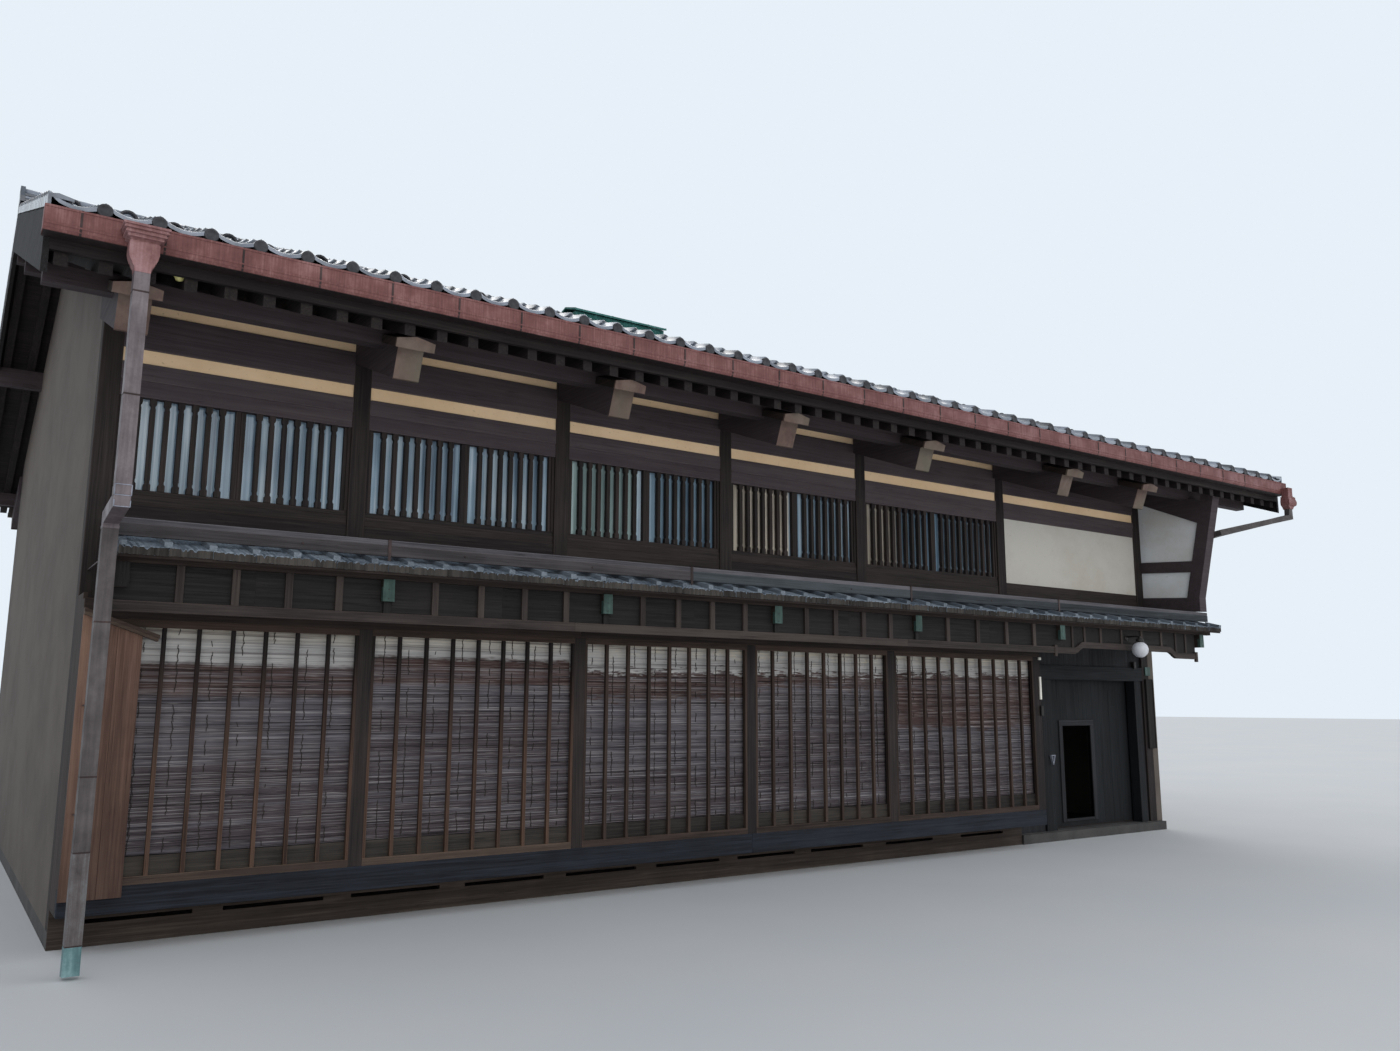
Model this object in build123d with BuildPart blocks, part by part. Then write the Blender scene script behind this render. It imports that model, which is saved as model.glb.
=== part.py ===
import os
from math import sqrt

from build123d import *

os.makedirs("parts", exist_ok=True)

# A two-storey timber townhouse, in millimetres.
# X runs along the street to the right, Y into the house, Z up. The origin is on the ground,
# midway between the two end posts and midway between the front and back wall faces.

# Plan
bay_widths = [1950, 1975, 1975, 1975, 2485, 3015]
house_depth = 8870
post_width = 150
post_depth = 140
party_wall_thickness = 120
wing_wall_thickness = 160
wing_wall_proud = 20

# Ground floor heights
floor_top = 120
sill_bottom = 275
sill_height = 184
lattice_rail = 57
lattice_top = 2266
lattice_head_rail = 52
lintel_height = 142

# Lattice front that projects from the wall
lattice_out = 428
lattice_post_width = 113
lattice_corner_width = 139
lattice_post_depth = 100
stile_width = 22
slat_width = 28
slat_depth = 40
slat_pitch = 233
low_board_height = 131
low_board_thickness = 15
blind_thickness = 12
blind_set_back = 75
board_thickness = 30

# Entrance
door_left = 4560
door_right = 6406
left_jamb_width = 220
right_jamb_width = 124
door_head = 2058
lintel_depth = 192
threshold_height = 113
leaf_gap = 25
leaf_thickness = 50
leaf_lap = 40
leaf_clearance = 5
runner_gap = 0.3
wicket_left = 4948
wicket_width = 606
wicket_bottom = 228
wicket_top = 1447
wicket_frame = 75
wicket_frame_proud = 15
track_height = 20
track_wall = 30

# Pent roof over the ground floor
pent_arm_width = 90
pent_arm_bottom = 2507
pent_arm_height = 173
pent_arm_out = 912
arm_cap_thickness = 6
valance_out = 858
valance_thickness = 18
valance_bottom = 2343
valance_rail = 75
valance_rail_thickness = 45
strut_width = 52
arch_rise = 76
pent_edge_out = 1038
pent_edge_top = 2782
pent_slope = 0.27
pent_board = 60
pent_left = -6650
pent_right = 6962
snow_board_out = 868
snow_board_thickness = 40
snow_board_height = 127
batten_width = 42
batten_height = 30
batten_pitch = 285

# Upper storey heights
upper_floor_top = 3000
upper_floor_thickness = 160
girder_height = 240
upper_sill_top = 3234
window_bottom = 3352
window_top = 4084
head_rail_top = 4352
low_strip_top = 4466
beam_top = 4759
high_strip_top = 4840
plaster_thickness = 50
plaster_set_back = 20
entrance_panel_heights = (3291, 4138)

# Upper windows
window_frame = 40
window_depth = 60
bar_pitch = 109
bar_width = 42
bar_depth = 30
glass_thickness = 5

# Roof
roof_slope = 0.375
rafter_out = 1258
rafter_end_bottom = 4560
rafter_width = 85
rafter_height = 105
rafter_pitch = 265
roof_board = 30
ridge_gap = 1
tile_bed = 255
tile_height = 112
tile_pan_height = 48
tile_pitch = 331
tile_roll_width = 88
tile_roll_angle = 72
edge_tile_width = 150
tile_out = 1378
left_overhang = 515
right_overhang = 1380
fascia_thickness = 40
fascia_height = 150
fascia_rise = 90
bargeboard_thickness = 40
bargeboard_drop = 60
ridge_width = 260
ridge_height = 215
vent_left = -442
vent_length = 1573
vent_width = 640
vent_height = 230

# Sloping arms that carry the eave purlin
eave_arm_width = 212
eave_arm_foot_out = 978
eave_arm_head_out = 1068
eave_arm_end_height = 235
eave_arm_drop = 111
eave_cap_out = 1168
eave_cap_width = 315
eave_cap_clearance = 9
eave_cap_fall = 30
eave_plate_thickness = 6
purlin_back_out = 688
purlin_front_out = 808
purlin_notch = 20

# Gutter and pipes
gutter_width = 140
gutter_rise = 339
gutter_height = 172
gutter_wall = 6
pipe_size = 100
pipe_x = -6713
pipe_low_out = 1040
pipe_bend_top = 3002
pipe_bend_bottom = 2956

# Worked out from the sizes above
total_bays = sum(bay_widths)
post_x = [-total_bays / 2 + sum(bay_widths[:i]) for i in range(len(bay_widths) + 1)]
front = -house_depth / 2
wall_left = post_x[0] - post_width / 2
wall_right = post_x[-1] + post_width / 2 + party_wall_thickness
lattice_left = post_x[0] - post_width / 2
lattice_right = post_x[5] + 113
roof_left = wall_left - left_overhang
roof_right = wall_right + right_overhang
sill_top = sill_bottom + sill_height
lintel_bottom = lattice_top + lattice_head_rail
lintel_top = lintel_bottom + lintel_height


def out(distance):
    """The Y of a plane that stands this far in front of the front wall face."""
    return front - distance


def rafter_bottom(distance):
    """Height of the rafters' underside, this far in front of the front wall face."""
    return rafter_end_bottom + roof_slope * (rafter_out - distance)


def pent_top(distance):
    """Height of the pent roof's boards, this far in front of the front wall face."""
    return pent_edge_top + pent_slope * (pent_edge_out - distance)


# The sloping arms hang this far under the rafters, and the purlin sits in their notches
eave_arm_head = rafter_bottom(eave_arm_head_out) - eave_arm_drop
eave_arm_foot = eave_arm_head - eave_arm_end_height
eave_cap_crown = eave_arm_drop - eave_cap_clearance
eave_cap_side = eave_cap_crown - eave_cap_fall
fascia_bottom = rafter_end_bottom + fascia_rise
gutter_top = rafter_end_bottom + gutter_rise


def arm_bottom(distance):
    """Height of the sloping arms' underside."""
    return eave_arm_foot + roof_slope * (eave_arm_foot_out - distance)


def arm_top(distance):
    """Height of the sloping arms' upper face."""
    return eave_arm_head + roof_slope * (eave_arm_head_out - distance)


purlin_bottom = arm_top(purlin_front_out) - purlin_notch


def block(xs, ys, zs):
    """Adds a box between these limits to the part being built."""
    with Locations((sum(xs) / 2, sum(ys) / 2, sum(zs) / 2)):
        Box(abs(xs[1] - xs[0]), abs(ys[1] - ys[0]), abs(zs[1] - zs[0]))


def cut_block(xs, ys, zs):
    """Cuts a box between these limits from the part being built."""
    with Locations((sum(xs) / 2, sum(ys) / 2, sum(zs) / 2)):
        Box(abs(xs[1] - xs[0]), abs(ys[1] - ys[0]), abs(zs[1] - zs[0]), mode=Mode.SUBTRACT)


def profile_along_x(points, xs):
    """Extrudes an outline of (y, z) points from the first x to the second."""
    with BuildSketch(Plane.YZ.offset(xs[0])) as outline:
        with BuildLine():
            Polyline(*points, close=True)
        make_face()
    extrude(outline.sketch, amount=xs[1] - xs[0])


def profile_along_y(points, ys):
    """Extrudes an outline of (x, z) points from the second y towards the first."""
    with BuildSketch(Plane.XZ.offset(-ys[1])) as outline:
        with BuildLine():
            Polyline(*points, close=True)
        make_face()
    extrude(outline.sketch, amount=ys[1] - ys[0])


def write(piece, name):
    piece.part.label = name
    export_step(piece.part, f"parts/{name}.step")


# Foundation and base boards
with BuildPart() as foundation:
    block((wall_left, wall_right), (front, -front), (0, floor_top))
write(foundation, "foundation")

slot_height = 30
slot_bottom = 160
slot_length = 760
with BuildPart() as base_boards:
    block(
        (wall_left, lattice_right),
        (out(board_thickness), front),
        (0, sill_bottom),
    )
    for left, right in zip(post_x[:5], post_x[1:6]):
        middle = (left + right) / 2
        for centre in ((left + middle) / 2, (middle + right) / 2):
            cut_block(
                (centre - slot_length / 2, centre + slot_length / 2),
                (out(board_thickness), front),
                (slot_bottom, slot_bottom + slot_height),
            )
write(base_boards, "base_boards")

# Lattice front
lattice_posts_x = [
    (lattice_left, lattice_left + 60),
    *[(x - lattice_post_width / 2, x + lattice_post_width / 2) for x in post_x[1:5]],
    (lattice_right - lattice_corner_width, lattice_right),
]
lattice_frame_y = (out(lattice_out), out(lattice_out - lattice_post_depth))
with BuildPart() as lattice_frame:
    block((lattice_left, lattice_right), lattice_frame_y, (sill_bottom, sill_top))
    for sides in lattice_posts_x:
        block(sides, lattice_frame_y, (sill_top, lintel_bottom))
    block((lattice_left, lattice_right), lattice_frame_y, (lintel_bottom, lintel_top))
write(lattice_frame, "lattice_frame")

lattice_bays = [(a[1], b[0]) for a, b in zip(lattice_posts_x[:-1], lattice_posts_x[1:])]
with BuildPart() as lattice:
    frame_y = (out(lattice_out), out(lattice_out - slat_depth))
    back = lattice_out - slat_depth
    for left, right in lattice_bays:
        spaces = round((right - left) / slat_pitch)
        step = (right - left) / spaces
        block((left, right), frame_y, (sill_top, sill_top + lattice_rail))
        block((left, right), frame_y, (lattice_top, lintel_bottom))
        block((left, left + stile_width), frame_y, (sill_top, lintel_bottom))
        block((right - stile_width, right), frame_y, (sill_top, lintel_bottom))
        with BuildSketch(Plane.XZ.offset(-frame_y[1])) as slats:
            with Locations(((left + right) / 2, (sill_top + lattice_rail + lattice_top) / 2)):
                with GridLocations(step, 0, spaces - 1, 1):
                    Rectangle(slat_width, lattice_top - sill_top - lattice_rail)
        extrude(slats.sketch, amount=slat_depth)
        block(
            (left, right),
            (out(back), out(back - low_board_thickness)),
            (sill_top, sill_top + lattice_rail + low_board_height),
        )
write(lattice, "lattice")

with BuildPart() as blinds:
    for sides in lattice_bays:
        block(
            sides,
            (
                out(lattice_out - blind_set_back),
                out(lattice_out - blind_set_back - blind_thickness),
            ),
            (sill_top + lattice_rail + low_board_height, lintel_bottom),
        )
write(blinds, "blinds")

# The sides of the lattice box, and boards over its lintel between the arms
pent_arm_shifts = [0, 0, -35, -50, -54]
pent_arm_x = [
    pent_left + 5 + pent_arm_width / 2,
    *[x + shift for x, shift in zip(post_x[1:6], pent_arm_shifts)],
    post_x[6] - 40,
]
under_pent = pent_top(lattice_out) - pent_board - 10
with BuildPart() as lattice_boards:
    block(
        (lattice_left, lattice_right),
        (out(lattice_out - lattice_post_depth), front),
        (sill_bottom, sill_bottom + board_thickness),
    )
    for x0, x1 in (
        (lattice_left, lattice_left + board_thickness),
        (lattice_right - board_thickness, lattice_right),
    ):
        block(
            (x0, x1),
            (out(lattice_out - lattice_post_depth), front),
            (sill_bottom + board_thickness, pent_arm_bottom),
        )
    for before, after in zip(pent_arm_x[:5], pent_arm_x[1:6]):
        block(
            (before + pent_arm_width / 2, after - pent_arm_width / 2),
            (out(lattice_out), out(lattice_out - board_thickness)),
            (lintel_top, under_pent),
        )
write(lattice_boards, "lattice_boards")

# A board beside the first lattice bay, with a sloping cap
wing_board_right = -6373
wing_board_bottom = 385
wing_board_high = 2340
wing_board_low = 2200
wing_cap_right = -6270
wing_cap_thickness = 45
wing_cap_width = 90
with BuildPart() as wing_board:
    slope = (wing_board_low - wing_board_high) / (wing_board_right - wall_left)
    cap_low = wing_board_high + slope * (wing_cap_right - wall_left)
    profile_along_y(
        [
            (wall_left, wing_board_bottom),
            (wing_board_right, wing_board_bottom),
            (wing_board_right, wing_board_low),
            (wall_left, wing_board_high),
        ],
        (out(lattice_out + board_thickness), out(lattice_out)),
    )
    profile_along_y(
        [
            (wall_left, wing_board_high),
            (wing_cap_right, cap_low),
            (wing_cap_right, cap_low + wing_cap_thickness),
            (wall_left, wing_board_high + wing_cap_thickness),
        ],
        (out(lattice_out + wing_cap_width), out(lattice_out)),
    )
write(wing_board, "wing_board")

# Posts of the front and back walls
plate_bottom = high_strip_top
with BuildPart() as posts:
    for x in post_x:
        block(
            (x - post_width / 2, x + post_width / 2),
            (front, front + post_depth),
            (floor_top, plate_bottom),
        )
    mirror(about=Plane.XZ)
write(posts, "posts")

# Entrance bay
entrance_left = post_x[5] + post_width / 2
entrance_right = post_x[6] - post_width / 2
side_wall_y = (front + board_thickness, front + 2 * board_thickness)
girder_bottom = upper_floor_top - girder_height
lintel_top_z = door_head + lintel_depth
with BuildPart() as entrance_frame:
    block(
        (door_left - left_jamb_width, door_left),
        (front, front + post_depth),
        (floor_top, door_head),
    )
    block(
        (door_right, door_right + right_jamb_width),
        (front, front + post_depth),
        (floor_top, door_head),
    )
    block(
        (entrance_left, entrance_right),
        (front, front + post_depth),
        (door_head, lintel_top_z),
    )
write(entrance_frame, "entrance_frame")

with BuildPart() as entrance_boards:
    block((entrance_left, door_left - left_jamb_width), side_wall_y, (floor_top, door_head))
    block((door_right + right_jamb_width, entrance_right), side_wall_y, (floor_top, door_head))
    block((entrance_left, entrance_right), side_wall_y, (lintel_top_z, girder_bottom))
write(entrance_boards, "entrance_boards")

with BuildPart() as threshold:
    block((lattice_right, wall_right), (out(60), front), (0, threshold_height))
write(threshold, "threshold")

# Great door with a wicket opening, and its tracks
leaf_y = (front + post_depth + leaf_gap, front + post_depth + leaf_gap + leaf_thickness)
leaf_x = (door_left - leaf_lap, door_right + leaf_lap)
leaf_z = (floor_top + track_height + runner_gap, door_head + leaf_lap)
travel = door_right - door_left
wicket_right = wicket_left + wicket_width
with BuildPart() as great_door:
    block(leaf_x, leaf_y, leaf_z)
    block(
        (wicket_left - wicket_frame, wicket_right + wicket_frame),
        (leaf_y[0] - wicket_frame_proud, leaf_y[0]),
        (wicket_bottom - wicket_frame / 2, wicket_top + wicket_frame),
    )
    cut_block(
        (wicket_left, wicket_right),
        (leaf_y[0] - wicket_frame_proud, leaf_y[1]),
        (wicket_bottom, wicket_top),
    )
write(great_door, "great_door")

track_x = (leaf_x[0] - travel - track_wall, leaf_x[1] + track_wall)
groove = 15
with BuildPart() as door_tracks:
    block(track_x, (leaf_y[0] - 10, leaf_y[1] + 10), (floor_top, floor_top + track_height))
    guide_bottom = leaf_z[1] - groove
    guide_top = leaf_z[1] + leaf_clearance + track_wall
    profile_along_x(
        [
            (leaf_y[0] - leaf_clearance - groove, guide_bottom),
            (leaf_y[0] - leaf_clearance, guide_bottom),
            (leaf_y[0] - leaf_clearance, leaf_z[1] + leaf_clearance),
            (leaf_y[1] + leaf_clearance, leaf_z[1] + leaf_clearance),
            (leaf_y[1] + leaf_clearance, guide_bottom),
            (leaf_y[1] + leaf_clearance + track_wall, guide_bottom),
            (leaf_y[1] + leaf_clearance + track_wall, guide_top),
            (leaf_y[0] - leaf_clearance - groove, guide_top),
        ],
        track_x,
    )
    block(
        track_x,
        (front + post_depth, leaf_y[0] - leaf_clearance - groove),
        (guide_bottom, guide_top),
    )
write(door_tracks, "door_tracks")

# Name board without writing, and the globe lamp
name_board_x = (6652, 6822)
name_board_z = (1118, 2090)
with BuildPart() as name_board:
    block(name_board_x, (out(board_thickness), front), name_board_z)
write(name_board, "name_board")

lamp_x = 4990
lamp_out = 1050
lamp_z = 2421
lamp_radius = 110
lamp_collar = 45
lamp_arm = 24
with BuildPart() as globe_lamp:
    with Locations((lamp_x, out(lamp_out), lamp_z)):
        Sphere(lamp_radius)
    with Locations((lamp_x, out(lamp_out), lamp_z + lamp_radius)):
        Cylinder(lamp_collar, 40)
    block(
        (lamp_x - lamp_arm / 2, lamp_x + lamp_arm / 2),
        (out(lamp_out + lamp_arm / 2), out(lamp_out - lamp_arm / 2)),
        (lamp_z + lamp_radius, lamp_z + lamp_radius + 60),
    )
    block(
        (lamp_x - lamp_arm / 2, lamp_x + lamp_arm / 2),
        (out(lamp_out), out(valance_out)),
        (lamp_z + lamp_radius + 36, lamp_z + lamp_radius + 60),
    )
write(globe_lamp, "globe_lamp")

# Pent roof: arms, caps, purlin, valance, boards and snow board
pent_arm_top = pent_arm_bottom + pent_arm_height
pent_purlin_out = (valance_out - valance_thickness, valance_out + 40)
with BuildPart() as pent_arms:
    for x in pent_arm_x:
        block(
            (x - pent_arm_width / 2, x + pent_arm_width / 2),
            (out(pent_arm_out), front),
            (pent_arm_bottom, pent_arm_top),
        )
    profile_along_x(
        [
            (out(pent_purlin_out[0]), pent_arm_top),
            (out(pent_purlin_out[1]), pent_arm_top),
            (out(pent_purlin_out[1]), pent_top(pent_purlin_out[1]) - pent_board),
            (out(pent_purlin_out[0]), pent_top(pent_purlin_out[0]) - pent_board),
        ],
        (pent_left, pent_right - 60),
    )
write(pent_arms, "pent_arms")

with BuildPart() as pent_arm_caps:
    for x in pent_arm_x:
        block(
            (x - pent_arm_width / 2, x + pent_arm_width / 2),
            (out(pent_arm_out + arm_cap_thickness), out(pent_arm_out)),
            (pent_arm_bottom, pent_arm_top),
        )
write(pent_arm_caps, "pent_arm_caps")

valance_y = (out(valance_out), out(valance_out - valance_thickness))
rail_y = (out(valance_out + valance_rail_thickness - valance_thickness), valance_y[0])
valance_split = post_x[5] - 160
with BuildPart() as valance:
    block((pent_left, valance_split), valance_y, (valance_bottom, pent_arm_top))
    block(
        (pent_left, valance_split),
        rail_y,
        (valance_bottom, valance_bottom + valance_rail),
    )
    for x in pent_arm_x[:5]:
        cut_block(
            (x - pent_arm_width / 2, x + pent_arm_width / 2),
            valance_y,
            (pent_arm_bottom, pent_arm_top),
        )
    for before, after in zip(pent_arm_x[:5], pent_arm_x[1:6]):
        for i in range(1, 5):
            x = before + (after - before) * i / 5
            if x + strut_width / 2 < valance_split:
                block(
                    (x - strut_width / 2, x + strut_width / 2),
                    rail_y,
                    (valance_bottom + valance_rail, pent_arm_top),
                )
write(valance, "valance")

arch_left = 3870
arch_right = 6095
arch_shoulder = 200
valance_end = 6560
with BuildPart() as entrance_valance:
    for ys, top in ((valance_y, pent_arm_top), (rail_y, None)):
        with BuildSketch(Plane.XZ.offset(-ys[1])):
            with BuildLine():
                rise = valance_bottom + arch_rise
                Line((valance_split, valance_bottom), (arch_left, valance_bottom))
                Spline(
                    (arch_left, valance_bottom),
                    (arch_left + arch_shoulder, rise),
                    tangents=[(1, 0), (1, 0)],
                )
                Line((arch_left + arch_shoulder, rise), (arch_right - arch_shoulder, rise))
                Spline(
                    (arch_right - arch_shoulder, rise),
                    (arch_right, valance_bottom),
                    tangents=[(1, 0), (1, 0)],
                )
                Line((arch_right, valance_bottom), (valance_end, valance_bottom))
                if top:
                    Polyline(
                        (valance_end, valance_bottom),
                        (valance_end, top),
                        (valance_split, top),
                        (valance_split, valance_bottom),
                    )
                else:
                    Line((valance_end, valance_bottom), (valance_end, valance_bottom + valance_rail))
                    Line(
                        (valance_end, valance_bottom + valance_rail),
                        (arch_right, valance_bottom + valance_rail),
                    )
                    Spline(
                        (arch_right, valance_bottom + valance_rail),
                        (arch_right - arch_shoulder, rise + valance_rail),
                        tangents=[(-1, 0), (-1, 0)],
                    )
                    Line(
                        (arch_right - arch_shoulder, rise + valance_rail),
                        (arch_left + arch_shoulder, rise + valance_rail),
                    )
                    Spline(
                        (arch_left + arch_shoulder, rise + valance_rail),
                        (arch_left, valance_bottom + valance_rail),
                        tangents=[(-1, 0), (-1, 0)],
                    )
                    Polyline(
                        (arch_left, valance_bottom + valance_rail),
                        (valance_split, valance_bottom + valance_rail),
                        (valance_split, valance_bottom),
                    )
            make_face()
        extrude(amount=ys[1] - ys[0])
    cut_block(
        (pent_arm_x[5] - pent_arm_width / 2, pent_arm_x[5] + pent_arm_width / 2),
        valance_y,
        (pent_arm_bottom, pent_arm_top),
    )
write(entrance_valance, "entrance_valance")

batten_count = int((pent_right - pent_left - batten_width) / batten_pitch)
batten_step = (pent_right - pent_left - batten_width) / batten_count
batten_centre = ((pent_left + pent_right) / 2, pent_edge_top + batten_height / 2)
wing_x = (wall_right + wing_wall_proud - wing_wall_thickness, wall_right + wing_wall_proud)
with BuildPart() as pent_roof:
    with BuildSketch(Plane.XZ.offset(-out(pent_edge_out))) as batten_ends:
        with Locations(batten_centre):
            with GridLocations(batten_step, 0, batten_count + 1, 1):
                Rectangle(batten_width, batten_height)
    batten_length = pent_edge_out * sqrt(1 + pent_slope**2)
    extrude(batten_ends.sketch, amount=batten_length, dir=(0, 1, pent_slope))
    cut_block(
        (wing_x[0] - batten_width, wing_x[1] + batten_width),
        (out(snow_board_out - snow_board_thickness), front),
        (pent_edge_top, upper_floor_top + 200),
    )
    profile_along_x(
        [
            (out(pent_edge_out), pent_top(pent_edge_out)),
            (front, pent_top(0)),
            (front, pent_top(0) - pent_board),
            (out(pent_edge_out), pent_top(pent_edge_out) - pent_board),
        ],
        (pent_left, pent_right),
    )
write(pent_roof, "pent_roof")

snow_board_bottom = pent_top(snow_board_out - snow_board_thickness) + batten_height
with BuildPart() as snow_board:
    block(
        (pent_left, pent_right - 40),
        (out(snow_board_out), out(snow_board_out - snow_board_thickness)),
        (snow_board_bottom, snow_board_bottom + snow_board_height),
    )
write(snow_board, "snow_board")

# Upper storey: floor, girder, sills, rails and beams between the posts
with BuildPart() as upper_floor:
    block(
        (wall_left + party_wall_thickness, wall_right - party_wall_thickness),
        (front + post_depth, -front - post_depth),
        (upper_floor_top - upper_floor_thickness, upper_floor_top),
    )
write(upper_floor, "upper_floor")

bays = [(a + post_width / 2, b - post_width / 2) for a, b in zip(post_x[:-1], post_x[1:])]
infill_heights = [(upper_sill_top, window_top)] * 5 + [entrance_panel_heights]
wall_y = (front, front + post_depth)
with BuildPart() as wall_beams:
    for sides, (infill_bottom, infill_top) in zip(bays, infill_heights):
        for zs in (
            (girder_bottom, infill_bottom),
            (infill_top, head_rail_top),
            (low_strip_top, beam_top),
        ):
            block(sides, wall_y, zs)
    mirror(about=Plane.XZ)
write(wall_beams, "wall_beams")

plate_top = rafter_bottom(0)
with BuildPart() as wall_plates:
    profile_along_x(
        [
            (front, plate_bottom),
            (front + post_depth, plate_bottom),
            (front + post_depth, rafter_bottom(-post_depth)),
            (front, plate_top),
        ],
        (wall_left, wall_right),
    )
    mirror(about=Plane.XZ)
write(wall_plates, "wall_plates")

plaster_y = (front + plaster_set_back, front + plaster_set_back + plaster_thickness)
with BuildPart() as plaster_strips:
    for sides in bays:
        block(sides, plaster_y, (head_rail_top, low_strip_top))
        block(sides, plaster_y, (beam_top, high_strip_top))
    mirror(about=Plane.XZ)
write(plaster_strips, "plaster_strips")

back_window_bays = (bays[1], bays[4])
with BuildPart() as plaster_panels:
    block(bays[5], plaster_y, entrance_panel_heights)
    for sides, heights in zip(bays, infill_heights):
        if sides not in back_window_bays:
            block(sides, (-plaster_y[1], -plaster_y[0]), heights)
write(plaster_panels, "plaster_panels")


# Upper windows: a frame with bars, and one pane behind
def window(sides, face, inward):
    """Adds one window of two barred sashes, its outer face here and its depth inward."""
    left, right = sides
    middle = (left + right) / 2
    frame = (face, face + inward * window_depth)
    block(sides, frame, (upper_sill_top, window_bottom))
    for x0, x1 in (
        (left, left + window_frame),
        (middle - window_frame, middle + window_frame),
        (right - window_frame, right),
    ):
        block((x0, x1), frame, (window_bottom, window_top))
    for x0, x1 in (
        (left + window_frame, middle - window_frame),
        (middle + window_frame, right - window_frame),
    ):
        spaces = round((x1 - x0) / bar_pitch)
        with BuildSketch(Plane.XZ.offset(-face)) as bars:
            with Locations(((x0 + x1) / 2, (window_bottom + window_top) / 2)):
                with GridLocations((x1 - x0) / spaces, 0, spaces - 1, 1):
                    Rectangle(bar_width, window_top - window_bottom)
        extrude(bars.sketch, amount=-inward * bar_depth)


with BuildPart() as upper_windows:
    for sides in bays[:5]:
        window(sides, front + plaster_set_back, 1)
    for sides in back_window_bays:
        window(sides, -front - plaster_set_back, -1)
write(upper_windows, "upper_windows")

glass_set_back = plaster_set_back + window_depth
with BuildPart() as window_glass:
    for sides in bays[:5]:
        block(
            sides,
            (front + glass_set_back, front + glass_set_back + glass_thickness),
            (upper_sill_top, window_top),
        )
    for sides in back_window_bays:
        block(
            sides,
            (-front - glass_set_back - glass_thickness, -front - glass_set_back),
            (upper_sill_top, window_top),
        )
write(window_glass, "window_glass")

# Wing wall at the right end of the upper storey
# Its rails, like its arm, sag a little towards the street
wing_sag = 0.07
wing_bottom = 3069
wing_base_top = 3259
wing_board_foot = 871
wing_board_head_out = 1175
wing_board_depth = 185
wing_rail_bottom = 3619
wing_rail_top = 3774
wing_panel_inset = 25
wing_foot = wing_base_top - wing_sag * wing_board_foot
wing_lean = (wing_board_head_out - wing_board_foot) / (rafter_bottom(wing_board_head_out) - wing_foot)


def wing_front(z):
    """How far the slanted front board's outer face stands from the wall, at this height."""
    return wing_board_foot + wing_lean * (z - wing_foot)


def wing_back(z):
    """The point on the slanted board's back at this height."""
    return (out(wing_front(z) - wing_board_depth), z)


def back_meets(line):
    """The point where the slanted board's back meets a sloping line."""
    z = 4000
    for step in range(20):
        z = line(wing_front(z) - wing_board_depth)
    return wing_back(z)


def sagging(height):
    """A line that starts at this height at the wall and sags towards the street."""
    return lambda distance: height - wing_sag * distance


def wing_arm_bottom(distance):
    """Height of the underside of the wing wall's own sloping arm."""
    return arm_bottom(distance) - wing_sag * distance


with BuildPart() as wing_frame:
    profile_along_x(
        [
            (front, wing_bottom),
            (front, wing_base_top),
            (out(wing_board_foot), wing_foot),
            (out(wing_board_foot), sagging(wing_bottom)(wing_board_foot)),
        ],
        wing_x,
    )
    profile_along_x(
        [
            (out(wing_board_foot), wing_foot),
            back_meets(sagging(wing_base_top)),
            back_meets(rafter_bottom),
            (out(wing_board_head_out), rafter_bottom(wing_board_head_out)),
        ],
        wing_x,
    )
    profile_along_x(
        [
            back_meets(sagging(wing_rail_bottom)),
            (front, wing_rail_bottom),
            (front, wing_rail_top),
            back_meets(sagging(wing_rail_top)),
        ],
        wing_x,
    )
write(wing_frame, "wing_frame")

panel_x = (wing_x[0] + wing_panel_inset, wing_x[1] - wing_panel_inset)
with BuildPart() as wing_panels:
    profile_along_x(
        [
            back_meets(sagging(wing_base_top)),
            (front, wing_base_top),
            (front, wing_rail_bottom),
            back_meets(sagging(wing_rail_bottom)),
        ],
        panel_x,
    )
    profile_along_x(
        [
            back_meets(sagging(wing_rail_top)),
            (front, wing_rail_top),
            (front, wing_arm_bottom(0)),
            back_meets(wing_arm_bottom),
        ],
        panel_x,
    )
write(wing_panels, "wing_panels")

# Sloping eave arms, their metal caps and the eave purlins
eave_arm_shifts = [0, 30, 42, 5, 0, -10]
entrance_arm_shift = 55
eave_arm_x = [x + shift for x, shift in zip(post_x, eave_arm_shifts)]
eave_arm_x.append((post_x[5] + post_x[6]) / 2 + entrance_arm_shift)


def eave_arm(sides, end):
    """Adds one arm, notched for the purlin, from the wall to the two points of its end."""
    profile_along_x(
        [
            (front, arm_bottom(0)),
            *end,
            (out(purlin_front_out), arm_top(purlin_front_out)),
            (out(purlin_front_out), purlin_bottom),
            (out(purlin_back_out), purlin_bottom),
            (out(purlin_back_out), arm_top(purlin_back_out)),
            (front, arm_top(0)),
        ],
        sides,
    )


arm_end = [(out(eave_arm_foot_out), eave_arm_foot), (out(eave_arm_head_out), eave_arm_head)]
with BuildPart() as eave_arms:
    for x in eave_arm_x:
        eave_arm((x - eave_arm_width / 2, x + eave_arm_width / 2), arm_end)
    mirror(about=Plane.XZ)
    eave_arm(wing_x, [back_meets(wing_arm_bottom), back_meets(arm_top)])
write(eave_arms, "eave_arms")

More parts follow.
